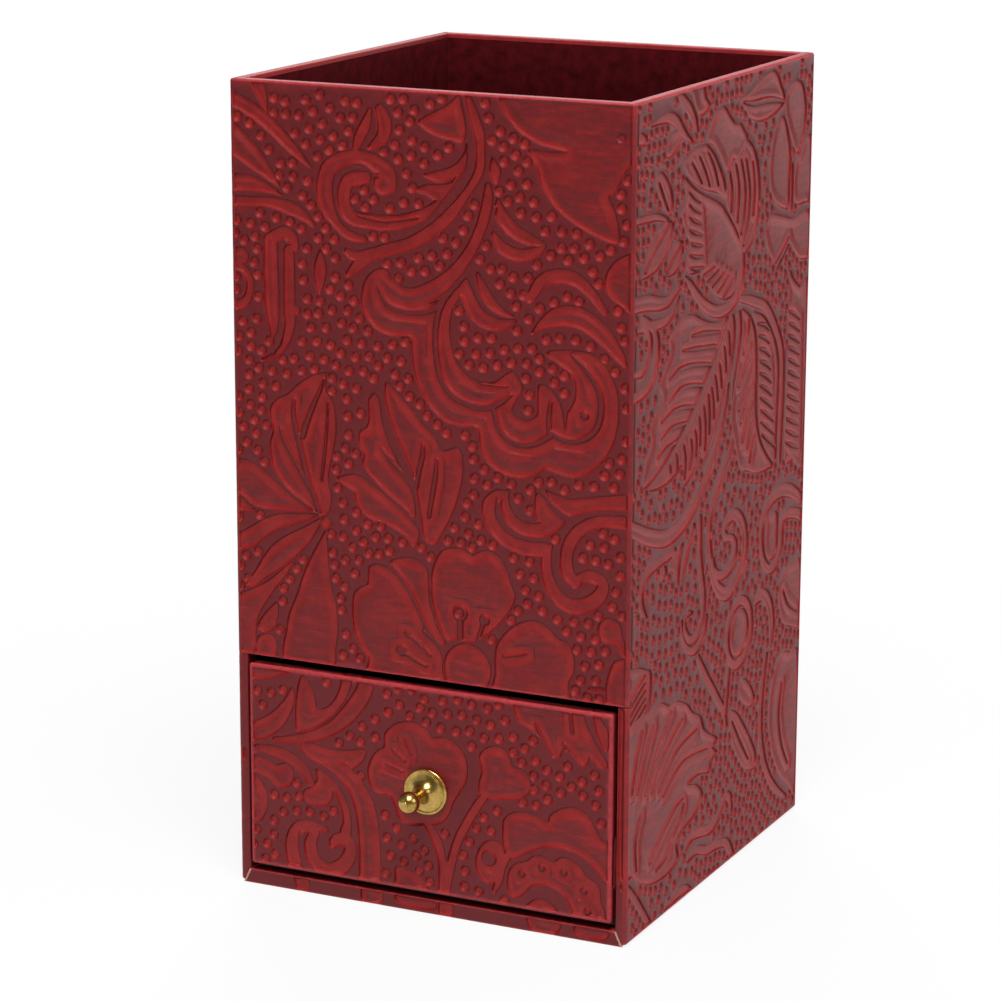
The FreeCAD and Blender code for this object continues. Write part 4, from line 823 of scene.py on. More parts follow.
def welded_sheet(name, patches):
    """A closed mesh with a fine outer skin and a plain inner skin, from patches in millimetres.

    Each patch holds outer and inner points (rows, columns, 3), the cells that exist, the rows and
    columns where the inner skin has an edge, and values for the outer points.
    """
    outer = np.concatenate([p["outer"].reshape(-1, 3) for p in patches])
    inner = np.concatenate([p["inner"].reshape(-1, 3) for p in patches])
    values = {
        key: np.concatenate([p["values"][key].reshape(outer_count(p), -1) for p in patches])
        for key in patches[0]["values"]
    }
    both = np.concatenate([outer, inner])
    keys = np.round(both * WELD_GRID + WELD_OFFSET).astype(np.int64) + 2**18
    code = (keys[:, 0] << 40) + (keys[:, 1] << 20) + keys[:, 2]
    code[: len(outer)] += 1 << 60
    _, first, label = np.unique(code, return_index=True, return_inverse=True)
    out_id, in_id = label[: len(outer)], label[len(outer) :]
    quads, cells = [], []
    offset = 0
    for p in patches:
        rows, columns = p["outer"].shape[:2]
        ids = out_id[offset : offset + rows * columns].reshape(rows, columns)
        corners = [ids[:-1, :-1], ids[1:, :-1], ids[1:, 1:], ids[:-1, 1:]]
        quads.append(np.stack(corners, -1)[p["cells"]])
        cells.append((offset, rows, columns))
        offset += rows * columns
    quads = np.concatenate(quads)
    fours, threes = split_faces(quads)
    edges = np.concatenate(
        [fours[:, [k, (k + 1) % 4]] for k in range(4)] + [threes[:, [k, (k + 1) % 3]] for k in range(3)]
    )
    low, high = edges.min(1), edges.max(1)
    size = len(first)
    _, where, count = np.unique(low * size + high, return_index=True, return_counts=True)
    border = edges[where[count == 1]]
    border_keys = set((border.min(1) * size + border.max(1)).tolist())
    inner_of = np.zeros(size, np.int64)
    inner_of[out_id] = in_id
    walls = np.stack([border[:, 1], border[:, 0], inner_of[border[:, 0]], inner_of[border[:, 1]]], 1)
    wall_fours, wall_threes = split_faces(walls)
    inner_faces = []
    for p, (offset, rows, columns) in zip(patches, cells):
        ids = out_id[offset : offset + rows * columns].reshape(rows, columns)
        ins = in_id[offset : offset + rows * columns].reshape(rows, columns)
        inner_faces += inner_skin(p, ids, ins, border_keys, size)
    faces = [fours, threes, wall_fours, wall_threes]
    return build_mesh(name, both[first], faces, inner_faces, values, first, len(outer))


def outer_count(patch):
    """Number of outer points of a patch."""
    return patch["outer"].shape[0] * patch["outer"].shape[1]


def split_faces(quads):
    """True quads, and the triangles that are left where two corners of a quad fell together."""
    same = quads == np.roll(quads, -1, 1)
    crossed = (quads[:, 0] == quads[:, 2]) | (quads[:, 1] == quads[:, 3])
    fours = quads[(same.sum(1) == 0) & ~crossed]
    lean = quads[(same.sum(1) == 1) & ~crossed]
    gone = np.argmax(lean == np.roll(lean, -1, 1), 1) if len(lean) else np.zeros(0, int)
    order = (gone[:, None] + np.array([1, 2, 3])) % 4
    return fours, np.take_along_axis(lean, order, 1)


def inner_skin(patch, ids, ins, border_keys, size):
    """Large flat faces of the inner skin, which keep every fine point along the sheet's edge."""
    faces = []
    row_stops, column_stops = patch["rows"], patch["columns"]

    def side(outer_line, inner_line):
        low = np.minimum(outer_line[:-1], outer_line[1:])
        high = np.maximum(outer_line[:-1], outer_line[1:])
        fine = [int(key) in border_keys for key in low * size + high]
        kept = [int(inner_line[0])]
        for k in range(1, len(inner_line) - 1):
            if fine[k - 1] or fine[k]:
                kept.append(int(inner_line[k]))
        return kept

    for r0, r1 in zip(row_stops, row_stops[1:]):
        for c0, c1 in zip(column_stops, column_stops[1:]):
            if not patch["cells"][r0:r1, c0:c1].any():
                continue
            down = ids[r0 : r1 + 1, c0], ins[r0 : r1 + 1, c0]
            foot = ids[r1, c0 : c1 + 1], ins[r1, c0 : c1 + 1]
            up = ids[r1 : r0 - 1 if r0 else None : -1, c1], ins[r1 : r0 - 1 if r0 else None : -1, c1]
            head = ids[r0, c1 : c0 - 1 if c0 else None : -1], ins[r0, c1 : c0 - 1 if c0 else None : -1]
            outer_corners = {int(ids[r0, c0]), int(ids[r1, c0]), int(ids[r1, c1]), int(ids[r0, c1])}
            if len(outer_corners) < 3:
                continue
            loop = side(*down) + side(*foot) + side(*up) + side(*head)
            face = [v for k, v in enumerate(loop) if v != loop[k - 1]]
            if len(set(face)) > 2:
                faces.append(face[::-1])
    return faces


def build_mesh(name, points, face_sets, loose_faces, values, first, outer_total):
    """Put the welded faces into a Blender mesh in metres, with its point values."""
    loops = [f.reshape(-1) for f in face_sets]
    sizes = [np.full(len(f), f.shape[1]) for f in face_sets]
    loops.append(np.array([v for face in loose_faces for v in face], np.int64))
    sizes.append(np.array([len(face) for face in loose_faces]))
    loops, sizes = np.concatenate(loops), np.concatenate(sizes)
    used, loops = np.unique(loops, return_inverse=True)
    mesh = bpy.data.meshes.new(name)
    mesh.vertices.add(len(used))
    mesh.vertices.foreach_set("co", (points[used] * MM).astype(np.float32).ravel())
    mesh.loops.add(len(loops))
    mesh.loops.foreach_set("vertex_index", loops.astype(np.int32))
    mesh.polygons.add(len(sizes))
    starts = np.concatenate([[0], np.cumsum(sizes)[:-1]])
    mesh.polygons.foreach_set("loop_start", starts.astype(np.int32))
    mesh.update(calc_edges=True)
    source = first[used]
    on_outer = source < outer_total
    for key, table in values.items():
        kind = "FLOAT" if table.shape[1] == 1 else "FLOAT_VECTOR"
        layer = mesh.attributes.new(key, kind, "POINT")
        data = np.where(on_outer[:, None], table[np.minimum(source, outer_total - 1)], 0.0)
        layer.data.foreach_set("value" if kind == "FLOAT" else "vector", data.astype(np.float32).ravel())
    mesh.validate()
    obj = bpy.data.objects.new(name, mesh)
    bpy.context.collection.objects.link(obj)
    return obj

# %% [markdown]
# ## One helper for nodes, one for colours
# Geometry trees and materials are both node trees, so one function adds a node of any kind, sets
# its options and fills its sockets. Inputs 0 to 4 of Map Range are its value and the ends of the
# two ranges, and inputs 0, 6 and 7 of a colour mix are its share and its two colours. Colours are
# written as sRGB hex and turned to linear once.

# %% Nodes and colours


def add(tree, kind, sockets=None, **options):
    """Add a node, set its options, and give its inputs a value or a link.

    A node given as a value is linked by its first output in use.
    """
    node = tree.nodes.new(kind)
    for key, value in options.items():
        setattr(node, key, value)
    for key, value in (sockets or {}).items():
        if isinstance(value, bpy.types.Node):
            value = next(out for out in value.outputs if out.enabled)
        if isinstance(value, bpy.types.NodeSocket):
            tree.links.new(value, node.inputs[key])
        else:
            node.inputs[key].default_value = value
    return node


def colour(hex_code):
    """Linear RGBA of an sRGB hex colour."""
    parts = [int(hex_code[k : k + 2], 16) / 255 for k in (1, 3, 5)]
    linear = [c / 12.92 if c <= 0.04045 else ((c + 0.055) / 1.055) ** 2.4 for c in parts]
    return (*linear, 1.0)


print("middle grey in linear light:", [round(c, 3) for c in colour("#808080")])

# %% [markdown]
# ## The embossed covering
# The covering is a paper with a thin polyurethane skin, embossed hot and then rubbed with a darker
# tone that stays on the high ground. So one material mixes two skins by the `ink` value of each
# point. The skin is soft and rather dull, so its IOR is 1.42 and its roughness a satin one. Folds
# are rubbed pale, and the pale colour also stands in for their highlight, so it is partly a painted
# highlight. The seam grooves are painted darker as shade. Image maps could carry all this, but
# values that come from the geometry stay sharp at any size.

# %% Polyurethane-coated embossed paper
PRESSED_RED = "#7E080B"
BLOOM_RED = "#921816"
GROUND_RED = "#650E13"
# Pale colour of rubbed folds. It also stands in for the highlight along them, so it is partly a painted
# highlight.
RUBBED_EDGE_HIGHLIGHT = "#AE3238"
PAPER_EDGE = "#B98A7C"
STREAK_LONG = 6.0
STREAK_FINE = 0.9
GRAIN = 0.35
GRAIN_DEPTH = 0.04
RELIEF_BOOST = 1.5
TORN_SPAN = 0.2
# Tone of the seam grooves, darkened as painted shade.
SEAM_SHADE_TONE = 0.15
# Size in millimetres, detail and roughness of each noise, then its range and what that becomes.
CLOUDS = {
    "streak": (STREAK_LONG, 5.0, 0.65, 0.32, 0.6, 0.0, 0.9),
    "mottle": (1.5, 6.0, 0.75, 0.3, 0.7, 0.86, 1.14),
    "patch": (5.0, 5.0, 0.6, 0.35, 0.65, 0.0, 1.0),
    "speckle": (GRAIN, 3.0, 0.7, 0.3, 0.7, 0.8, 1.2),
    "pale_edge_noise": (1.2, 4.0, 0.7, 0.3, 0.6, 0.35, 0.9),
    "fibre": (0.5, 3.0, 0.5, 0.0, 1.0, 0.0, 1.0),
    "grain": (GRAIN, 2.0, 0.55, 0.0, 1.0, 0.0, 1.0),
}


def material(name):
    """A new material with its empty tree and its Object coordinates."""
    made = bpy.data.materials.new(name)
    made.use_nodes = True
    tree = made.node_tree
    tree.nodes.clear()
    return made, tree, add(tree, "ShaderNodeTexCoord").outputs["Object"]


def covering():
    """Paper skinned with polyurethane, embossed by a hot roller and rubbed with a darker tone."""
    made, tree, place = material("polyurethane-coated embossed paper")
    value = {}
    for name in ("ink", "swell", "skin", "seam_shade", "wear_and_highlight", "sunk"):
        value[name] = add(tree, "ShaderNodeAttribute", attribute_name=name).outputs["Fac"]
    level = add(tree, "ShaderNodeMapping", {"Vector": place, "Scale": (1, 1, STREAK_LONG / STREAK_FINE)})
    cloud = {}
    for name, (size, detail, roughness, *span) in CLOUDS.items():
        sockets = {"Scale": 1 / (size * MM), "Detail": detail, "Roughness": roughness}
        sockets["Vector"] = level if name == "streak" else place
        noise = add(tree, "ShaderNodeTexNoise", sockets)
        cloud[name] = add(tree, "ShaderNodeMapRange", {0: noise, **dict(enumerate(span, 1))})
    rubbed = add(tree, "ShaderNodeMath", {0: cloud["streak"], 1: value["swell"]}, operation="MULTIPLY")
    red = add(tree, "ShaderNodeMath", {0: value["ink"], 1: rubbed}, operation="SUBTRACT", use_clamp=True)
    reds = {6: colour(PRESSED_RED), 7: colour(BLOOM_RED)}
    pressed_red = add(tree, "ShaderNodeMix", {0: cloud["patch"], **reds}, data_type="RGBA")
    skins = {6: colour(GROUND_RED), 7: pressed_red}
    mixed = add(tree, "ShaderNodeMix", {0: red, **skins}, data_type="RGBA")
    tone = add(tree, "ShaderNodeMath", {0: cloud["mottle"], 1: cloud["speckle"]}, operation="MULTIPLY")
    # The seam grooves are darkened: painted shade.
    unshaded = add(tree, "ShaderNodeMapRange", {0: value["seam_shade"], 3: 1.0, 4: SEAM_SHADE_TONE})
    tone = add(tree, "ShaderNodeMath", {0: tone, 1: unshaded}, operation="MULTIPLY")
    toned = add(tree, "ShaderNodeVectorMath", {0: mixed, "Scale": tone}, operation="SCALE")
    # Folds turn pale: rubbed wear and a painted highlight.
    worn_and_lit = add(tree, "ShaderNodeMath", {0: value["wear_and_highlight"], 1: cloud["pale_edge_noise"]}, operation="MULTIPLY")
    edged = add(tree, "ShaderNodeMix", {0: worn_and_lit, 6: toned, 7: colour(RUBBED_EDGE_HIGHLIGHT)}, data_type="RGBA")
    torn = add(tree, "ShaderNodeMath", {0: value["skin"], 1: cloud["fibre"]}, operation="SUBTRACT")
    torn = add(tree, "ShaderNodeMapRange", {0: torn, 1: 0.0, 2: TORN_SPAN})
    paper = add(tree, "ShaderNodeMix", {0: torn, 6: colour(PAPER_EDGE), 7: edged}, data_type="RGBA")
    sockets = {"Height": value["sunk"], "Distance": RELIEF_BOOST}
    relief = add(tree, "ShaderNodeBump", sockets, invert=True)
    sockets = {"Height": cloud["grain"], "Distance": GRAIN_DEPTH * MM, "Strength": 0.7, "Normal": relief}
    bump = add(tree, "ShaderNodeBump", sockets)
    sockets = {"Base Color": paper, "Normal": bump, "Roughness": 0.56, "IOR": 1.42}
    shader = add(tree, "ShaderNodeBsdfPrincipled", sockets)
    add(tree, "ShaderNodeOutputMaterial", {"Surface": shader})
    return made


cover = covering()
print("leather red in linear light:", [round(c, 3) for c in colour(PRESSED_RED)])

# %% [markdown]
# ## Papers and board
# The other surfaces are fibres: flock on the lining, raw grey board, a black paper in the bay. They
# differ in colour, roughness and mottle, so one function makes them all.

# %% Suede-like paper, grey board, black paper


def plain(name, hex_code, roughness, mottle_size, contrast, gloss=0.5):
    """A dull fibre surface with a soft mottle."""
    made, tree, place = material(name)
    sockets = {"Vector": place, "Scale": 1 / (mottle_size * MM), "Detail": 5.0, "Roughness": 0.65}
    mottle = add(tree, "ShaderNodeTexNoise", sockets)
    tone = add(tree, "ShaderNodeMapRange", {0: mottle, 1: 0.3, 2: 0.7, 3: 1 - contrast, 4: 1 + contrast})
    tint = {0: colour(hex_code)[:3], "Scale": tone}
    toned = add(tree, "ShaderNodeVectorMath", tint, operation="SCALE")
    sockets = {"Base Color": toned, "Roughness": roughness, "IOR": 1.5, "Specular IOR Level": gloss}
    shader = add(tree, "ShaderNodeBsdfPrincipled", sockets)
    add(tree, "ShaderNodeOutputMaterial", {"Surface": shader})
    return made


# Short dyed flock blown on glued paper: nearly no gloss.
lining = plain("flocked suede-like paper", "#41090D", 0.95, 3.0, 0.45, gloss=0.05)
# Pressed and cut waste-paper board.
board = plain("grey book board", "#8C857B", 0.85, 1.2, 0.12)
# Near-black paper in the bay and on the tray, as dark as the gaps round the drawer look.
bay_paper = plain("black lining paper", "#1B191A", 0.7, 1.5, 0.15)
print("papers and board:", [made.name for made in (lining, board, bay_paper)])

# %% [markdown]
# ## Turned brass
# The knob is brass from the lathe, polished, lacquered and a little aged. Metal takes its look from
# its own colour and from what it mirrors, so two tones and one roughness are enough.

# %% Polished and slightly aged brass


def brass_finish():
    """Turned, polished and lacquered brass with a thin tarnish."""
    made, tree, place = material("turned antique brass")
    sockets = {"Vector": place, "Scale": 1 / (1.6 * MM), "Detail": 4.0, "Roughness": 0.6}
    tarnish = add(tree, "ShaderNodeTexNoise", sockets)
    share = add(tree, "ShaderNodeMapRange", {0: tarnish, 1: 0.35, 2: 0.7})
    tones = {6: colour("#C9A65C"), 7: colour("#9C8044")}
    mixed = add(tree, "ShaderNodeMix", {0: share, **tones}, data_type="RGBA")
    sockets = {"Base Color": mixed, "Metallic": 1.0, "Roughness": 0.25}
    shader = add(tree, "ShaderNodeBsdfPrincipled", sockets)
    add(tree, "ShaderNodeOutputMaterial", {"Surface": shader})
    return made


brass = brass_finish()
print(f"{brass.name}: {len(brass.node_tree.nodes)} nodes")

# %% [markdown]
# ## Pebbles by Geometry Nodes
# Hundreds of equal dimples are a rule, not a drawing. A tree measures each vertex's distance to
# the nearest pebble spot, sinks it into a bowl along the sheet's outward direction, and colours it.
# The sunk depth of the drawing is kept where it is already deeper.

# %% The tree
INK_EDGE = 0.2
# The name of a value, the operation that makes it, and the values or numbers that it takes.
# SMOOTHSTEP and LINEAR turn a distance to 0 at the second value and to 1 at the third.
STEPS = (
    ("inner", "SUBTRACT", "Radius", "Wall"),
    ("brim", "SUBTRACT", "Radius", INK_EDGE * MM),
    ("slope", "SMOOTHSTEP", "near", "Radius", "inner"),
    ("filled", "LINEAR", "near", "Radius", "brim"),
    ("share", "DIVIDE", "near", "Radius"),
    ("square", "MULTIPLY", "share", "share"),
    ("dish", "SUBTRACT", 1.0, "square"),
    ("dish", "MAXIMUM", "dish", 0.0),
    ("dish", "MULTIPLY", "dish", "Bowl"),
    ("slope", "MULTIPLY", "slope", "Depth"),
    ("bowl", "ADD", "slope", "dish"),
    ("extra", "SUBTRACT", "sink", "sunk"),
    ("extra", "MAXIMUM", "extra", 0.0),
    ("extra", "MULTIPLY", "extra", "give"),
    ("back", "MULTIPLY", "extra", -1.0),
    ("deeper", "ADD", "sunk", "extra"),
    ("filled", "MULTIPLY", "filled", "skin"),
    ("inked", "MAXIMUM", "ink", "filled"),
)


def pebble_tree():
    """Sinks round bowls at the spots of another object and stores their ink."""
    tree = bpy.data.node_groups.new("pebble bowls", "GeometryNodeTree")
    sockets = {"Geometry": "Geometry", "Spots": "Object", "Radius": "Float", "Wall": "Float"}
    sockets |= {"Depth": "Float", "Bowl": "Float", "Finish": "Material"}
    for name, kind in sockets.items():
        tree.interface.new_socket(name, in_out="INPUT", socket_type="NodeSocket" + kind)
    tree.interface.new_socket("Geometry", in_out="OUTPUT", socket_type="NodeSocketGeometry")
    given = add(tree, "NodeGroupInput").outputs
    value = {name: given[name] for name in ("Radius", "Wall", "Depth", "Bowl")}
    for name in ("sink", "sunk", "give", "ink", "skin", "outward"):
        kind = "FLOAT_VECTOR" if name == "outward" else "FLOAT"
        value[name] = add(tree, "GeometryNodeInputNamedAttribute", {"Name": name}, data_type=kind)
    spots = add(tree, "GeometryNodeObjectInfo", {"Object": given["Spots"]}).outputs["Geometry"]
    near = add(tree, "GeometryNodeProximity", {0: spots}, target_element="POINTS")
    value["near"] = near.outputs["Distance"]
    for name, operation, *parts in STEPS:
        sockets = {k: value.get(part, part) for k, part in enumerate(parts)}
        if len(parts) == 3:
            value[name] = add(tree, "ShaderNodeMapRange", sockets, interpolation_type=operation)
        else:
            value[name] = add(tree, "ShaderNodeMath", sockets, operation=operation)
    body = given["Geometry"]
    for name, source in (("ink", "inked"), ("sink", "bowl"), ("sunk", "deeper")):
        if name == "sunk":
            way = {0: value["outward"], "Scale": value["back"]}
            push = add(tree, "ShaderNodeVectorMath", way, operation="SCALE")
            body = add(tree, "GeometryNodeSetPosition", {"Geometry": body, "Offset": push})
        sockets = {"Geometry": body, "Name": name, "Value": value[source]}
        body = add(tree, "GeometryNodeStoreNamedAttribute", sockets, data_type="FLOAT", domain="POINT")
    real = add(tree, "GeometryNodeRealizeInstances", {0: body})
    done = add(tree, "GeometryNodeSetMaterial", {0: real, "Material": given["Finish"]})
    add(tree, "NodeGroupOutput", {0: done})
    return tree


pebbles = pebble_tree()
print("inputs:", [item.name for item in pebbles.interface.items_tree])

# %% Run it and thin the mesh
PIECE_LIMIT = 150_000
PEBBLE_WALL = 0.6
PEBBLE_DEPTH = 0.24
PEBBLE_BOWL = 0.12
SHARP_FOLD = math.radians(50)


def finished(obj, spots):
    """Sink the pebbles, collapse what is flat, and keep the result as a plain mesh."""
    cloud = bpy.data.meshes.new("pebble spots")
    cloud.from_pydata([Vector(spot) * MM for spot in spots.tolist()], [], [])
    marks = bpy.data.objects.new("pebble spots", cloud)
    bpy.context.collection.objects.link(marks)
    bowls = obj.modifiers.new("pebble bowls", "NODES")
    bowls.node_group = pebbles
    given = {"Spots": marks, "Radius": PEBBLE_RADIUS * MM, "Wall": PEBBLE_WALL * MM}
    given |= {"Depth": PEBBLE_DEPTH * MM, "Bowl": PEBBLE_BOWL * MM, "Finish": cover}
    for item in pebbles.interface.items_tree:
        if item.name in given:
            bowls[item.identifier] = given[item.name]
    triangles = sum(len(p.vertices) - 2 for p in obj.data.polygons)
    thin = obj.modifiers.new("thin", "DECIMATE")
    thin.ratio = min(1.0, PIECE_LIMIT / triangles)
    settled = obj.evaluated_get(bpy.context.evaluated_depsgraph_get())
    mesh = bpy.data.meshes.new_from_object(settled)
    obj.modifiers.clear()
    old, obj.data = obj.data, mesh
    bpy.data.meshes.remove(old)
    bpy.data.objects.remove(marks)
    mesh.validate()
    for name in ("outward", "give", "sink"):
        if name in mesh.attributes:
            mesh.attributes.remove(mesh.attributes[name])
    mesh.shade_smooth()
    mesh.set_sharp_from_angle(angle=SHARP_FOLD)
    print(obj.name, triangles, "->", len(mesh.polygons), "pebbles", len(spots))
    return obj

# %% [markdown]
# ## The sheets of the box
# Each sheet is one patch: the section gives its rows and the plan gives its columns. Where two
# sheets meet, a real edge is rubbed down a little, so a fine groove is pressed along it.

# %% A wall patch
STEP = 0.2
BACK_STEP = 0.34
FRONT_SCALE = 95.0 / 94.0
SIDE_SCALE = 103.0 / 102.0
SEAM_WIDTH = 0.5
SEAM_DEPTH = 0.18
TIGHT_WIDTH = 0.6
TIGHT_SHARE = 0.05
# Width of the pale band along folds, which is rubbed wear and a painted highlight, and its share on
# upright corners.
WEAR_AND_HIGHLIGHT_WIDTH = 0.3
UPRIGHT_WEAR_AND_HIGHLIGHT = 0.15
PLAIN_INK = 0.7
RIM_FADE = (0.1, 0.5)
BEND_SHARE = 0.9
ON_FACE = np.zeros(1)


def seam(distance):
    """Extra depth beside a cut edge."""
    return SEAM_DEPTH * (1.0 - ease(distance, 0.0, SEAM_WIDTH))


def fold_gap(line):
    """Distance of each point of a folded line from its nearest fold."""
    if not line.arc.any():
        return np.full(line.count, FAR)
    return np.abs(line.travel[:, None] - line.travel[line.arc][None, :]).min(1)


def slack(gap):
    """Share of the full depth that is left beside a fold, where the sheet is pulled tight."""
    return TIGHT_SHARE + (1.0 - TIGHT_SHARE) * ease(gap, 0.0, TIGHT_WIDTH)


def point_values(relief, x, y, gaps, outward, groove=0.0, shown=True):
    """Depth of every outer point, and the values that it carries."""
    level_gap, upright_gap = gaps
    depth, ink, swell = pressed(relief.at(x, y))
    ink = PLAIN_INK + (ink - PLAIN_INK) * shown
    swell = swell * shown
    give = np.broadcast_to(slack(np.minimum(level_gap, upright_gap)) * shown, depth.shape)
    depth = depth * give + groove
    # The pale band along folds is rubbed wear and also a painted highlight.
    wear_and_highlight = 1.0 - ease(level_gap, 0.0, WEAR_AND_HIGHLIGHT_WIDTH)
    wear_and_highlight = np.maximum(wear_and_highlight, UPRIGHT_WEAR_AND_HIGHLIGHT * (1.0 - ease(upright_gap, 0.0, WEAR_AND_HIGHLIGHT_WIDTH)))
    wear_and_highlight = np.broadcast_to(wear_and_highlight, depth.shape)
    # Each seam groove takes its share of painted shade.
    seam_shade = np.broadcast_to(np.clip(groove / SEAM_DEPTH, 0.0, 1.0), depth.shape)
    values = {"ink": ink, "swell": swell, "sunk": depth * MM, "give": give, "wear_and_highlight": wear_and_highlight, "seam_shade": seam_shade}
    return depth, {**values, "skin": np.ones(depth.shape), "outward": outward}


def sheet_back(section):
    """How far the inner skin lies under each row: the sheet, or less inside a tight fold."""
    thickness = np.full(section.count, SHEET)
    folded = section.arc
    thickness[folded] = np.minimum(SHEET, BEND_SHARE * section.length[folded])
    return thickness


def wall_patch(section, plan, relief, x_of, y_of, groove=None, cells=None):
    """One sheet of the box's wall as a patch for `welded_sheet`."""
    inset, level = section.place(ON_FACE).T
    tilt = section.out
    across = plan.pattern(inset[:, None])
    x = x_of(across)
    y = np.broadcast_to(y_of(section.travel)[:, None], x.shape)
    outward = np.empty((*x.shape, 3))
    outward[..., :2] = -tilt[:, None, :1] * plan.out[None]
    outward[..., 2] = tilt[:, None, 1]
    gaps = fold_gap(section)[:, None], fold_gap(plan)[None, :]
    extra = 0.0 if groove is None else groove(across, y)
    shown = 1.0 - ease(inset, *RIM_FADE)[:, None]
    depth, values = point_values(relief, x, y, gaps, outward, extra, shown)
    sunk_inset = inset[:, None] - depth * tilt[:, :1]
    spot = plan.place(sunk_inset, inset[:, None])
    outer = np.concatenate([spot, (level[:, None] - depth * tilt[:, 1:])[..., None]], -1)
    back = sheet_back(section)[:, None]
    under = plan.place(np.broadcast_to(inset[:, None] - back * tilt[:, :1], x.shape), inset[:, None])
    low = np.broadcast_to(level[:, None] - back * tilt[:, 1:], x.shape)
    inner = np.concatenate([under, low[..., None]], -1)
    if cells is None:
        cells = np.ones((section.count - 1, plan.count - 1), bool)
    patch = {"outer": outer, "inner": inner, "cells": cells, "values": values}
    return {**patch, "rows": section.stop, "columns": plan.stop, "x": x, "y": y}


def on_patch(patch, spots):
    """Places of pattern points on a patch, read between its rows and columns."""
    middle = patch["x"].shape[0] // 2
    x, y = patch["x"][middle], patch["y"][:, 0]
    u = np.clip(np.interp(spots[:, 0], x, np.arange(len(x))), 0, len(x) - 1.001)
    v = np.clip(np.interp(spots[:, 1], y, np.arange(len(y))), 0, len(y) - 1.001)
    i, j = u.astype(int), v.astype(int)
    u, v, p = (u - i)[:, None], (v - j)[:, None], patch["outer"]
    top = p[j, i] * (1 - u) + p[j, i + 1] * u
    return top * (1 - v) + (p[j + 1, i] * (1 - u) + p[j + 1, i + 1] * u) * v


def row_at(section, inset, level):
    """The row of a section that lies at a place."""
    place = section.place(ON_FACE)
    return int(np.argmin(np.hypot(place[:, 0] - inset, place[:, 1] - level)))


# %% The front sheet, from inside the rim to under the front board
TURN_IN_END = HEIGHT - RIM_TURN_IN
REVEAL = HEIGHT - 1.5
FRONT_SPAN = ((1.0, 93.8), (1.2, 126))
SIDE_SPAN = ((1.2, 102.0), (1.2, 179))
QUARTER = CORNER * math.pi / 2


def rim_rows(below, radii, spacing, step):
    """Section that starts inside the rim, goes over it and on down the given corners."""
    corners = [(TURNED_IN, TURN_IN_END), (TURNED_IN, REVEAL), (TURNED_IN, HEIGHT), (0, HEIGHT), *below]
    radii = [0, RIM_INNER, RIM_OUTER, *radii]
    return FoldedLine(corners, radii, [RIM_TURN_IN, step, step, *spacing], step)


def pattern_rows(section):
    """Turns travel along a section into pattern height, 0.6 at the foot of the rim's round."""
    start = section.travel[row_at(section, 0.0, HEIGHT - RIM_OUTER)]
    return lambda travel: travel - start + RIM_OUTER


def same(points):
    """The drawing's own place."""
    return points


front_section = rim_rows([(0, OPENING_TOP), (BAY_TURN_IN, OPENING_TOP)], [LIP_FOLD], [STEP, 3.0], STEP)
corners = [(-HALF_WIDTH, -HALF_DEPTH + CORNER), (-HALF_WIDTH, -HALF_DEPTH)]
corners += [(-x, y) for x, y in corners[::-1]]
front_plan = FoldedLine(corners, [CORNER, CORNER], [STEP] * 3, STEP)
front_relief = Relief((-4, 99), (-5, 146), STEP)
front_relief.draw(drawings["front"], same)
last = front_plan.travel[-1]
front_cells = np.ones((front_section.count - 1, front_plan.count - 1), bool)
lip_row = row_at(front_section, LIP_FOLD, OPENING_TOP)
column_x = front_plan.place(ON_FACE)[:, 0]
front_cells[lip_row:, np.abs(0.5 * (column_x[1:] + column_x[:-1])) > BAY_HALF] = False
front_patch = wall_patch(
    front_section,
    front_plan,
    front_relief,
    lambda t: (t - QUARTER + CORNER) * FRONT_SCALE,
    pattern_rows(front_section),
    lambda t, y: seam(np.minimum(t, last - t)),
    front_cells,
)
front_spots = pebble_spots(front_relief, drawings["front"], same, FRONT_SPAN)
front_sheet = finished(welded_sheet("front_sheet", [front_patch]), on_patch(front_patch, front_spots))

# %% The side sheet, in three pieces: right, back and left
FOLD_END = -HALF_DEPTH + BAY_TURN_IN
FLAT_END = HALF_WIDTH - CORNER
STILE_START = BAY_HALF + STILE_FOLD
BAY_TO = BAY_TURN_IN - STILE_FOLD + STILE_FOLD * math.pi / 2
STILE_TO = BAY_TO + TURNED_IN - STILE_FOLD - CORNER + QUARTER
MITRE_RUN = 1.5
NEARLY = 0.05
HAIR = 1e-6


def side_rows(step):
    """Section that goes on from the rim past the opening to the turn-in under the foot."""
    below = [(0, OPENING_TOP), (0, OPENING_FLOOR), (0, SHEET_BOTTOM), (BASE_TURN_IN, SHEET_BOTTOM)]
    return rim_rows(below, [0, 0, FOOT], [step, step, step, BASE_TURN_IN], step)


def stile_cells(section, travel):
    """Cells of a side sheet: the bay fold and the stile only stand beside the opening."""
    cells = np.ones((section.count - 1, len(travel) - 1), bool)
    middle = 0.5 * (travel[1:] + travel[:-1])
    top, floor = row_at(section, 0, OPENING_TOP), row_at(section, 0, OPENING_FLOOR)
    foot = row_at(section, FOOT, SHEET_BOTTOM)
    stile = middle < STILE_TO
    cells[:top, stile] = False
    cells[foot:, stile] = False
    cells[floor:, middle < BAY_TO] = False
    return cells


def mitre_stile(patch):
    """Draw the stile in below the opening, to the mitre that runs to the outer corner."""
    width = FLAT_END - STILE_START
    for points in (patch["outer"], patch["inner"]):
        side = np.abs(points[..., 0])
        drop = np.clip((OPENING_FLOOR - points[..., 2]) / OPENING_FLOOR, 0.0, 1.0)
        on_front = (points[..., 1] < -HALF_DEPTH + FOOT + 0.1) & (side < FLAT_END + HAIR)
        on_front &= side > STILE_START - HAIR
        moved = FLAT_END - (FLAT_END - side) / width * (width - drop * MITRE_RUN)
        points[..., 0] = np.where(on_front, np.sign(points[..., 0]) * moved, points[..., 0])


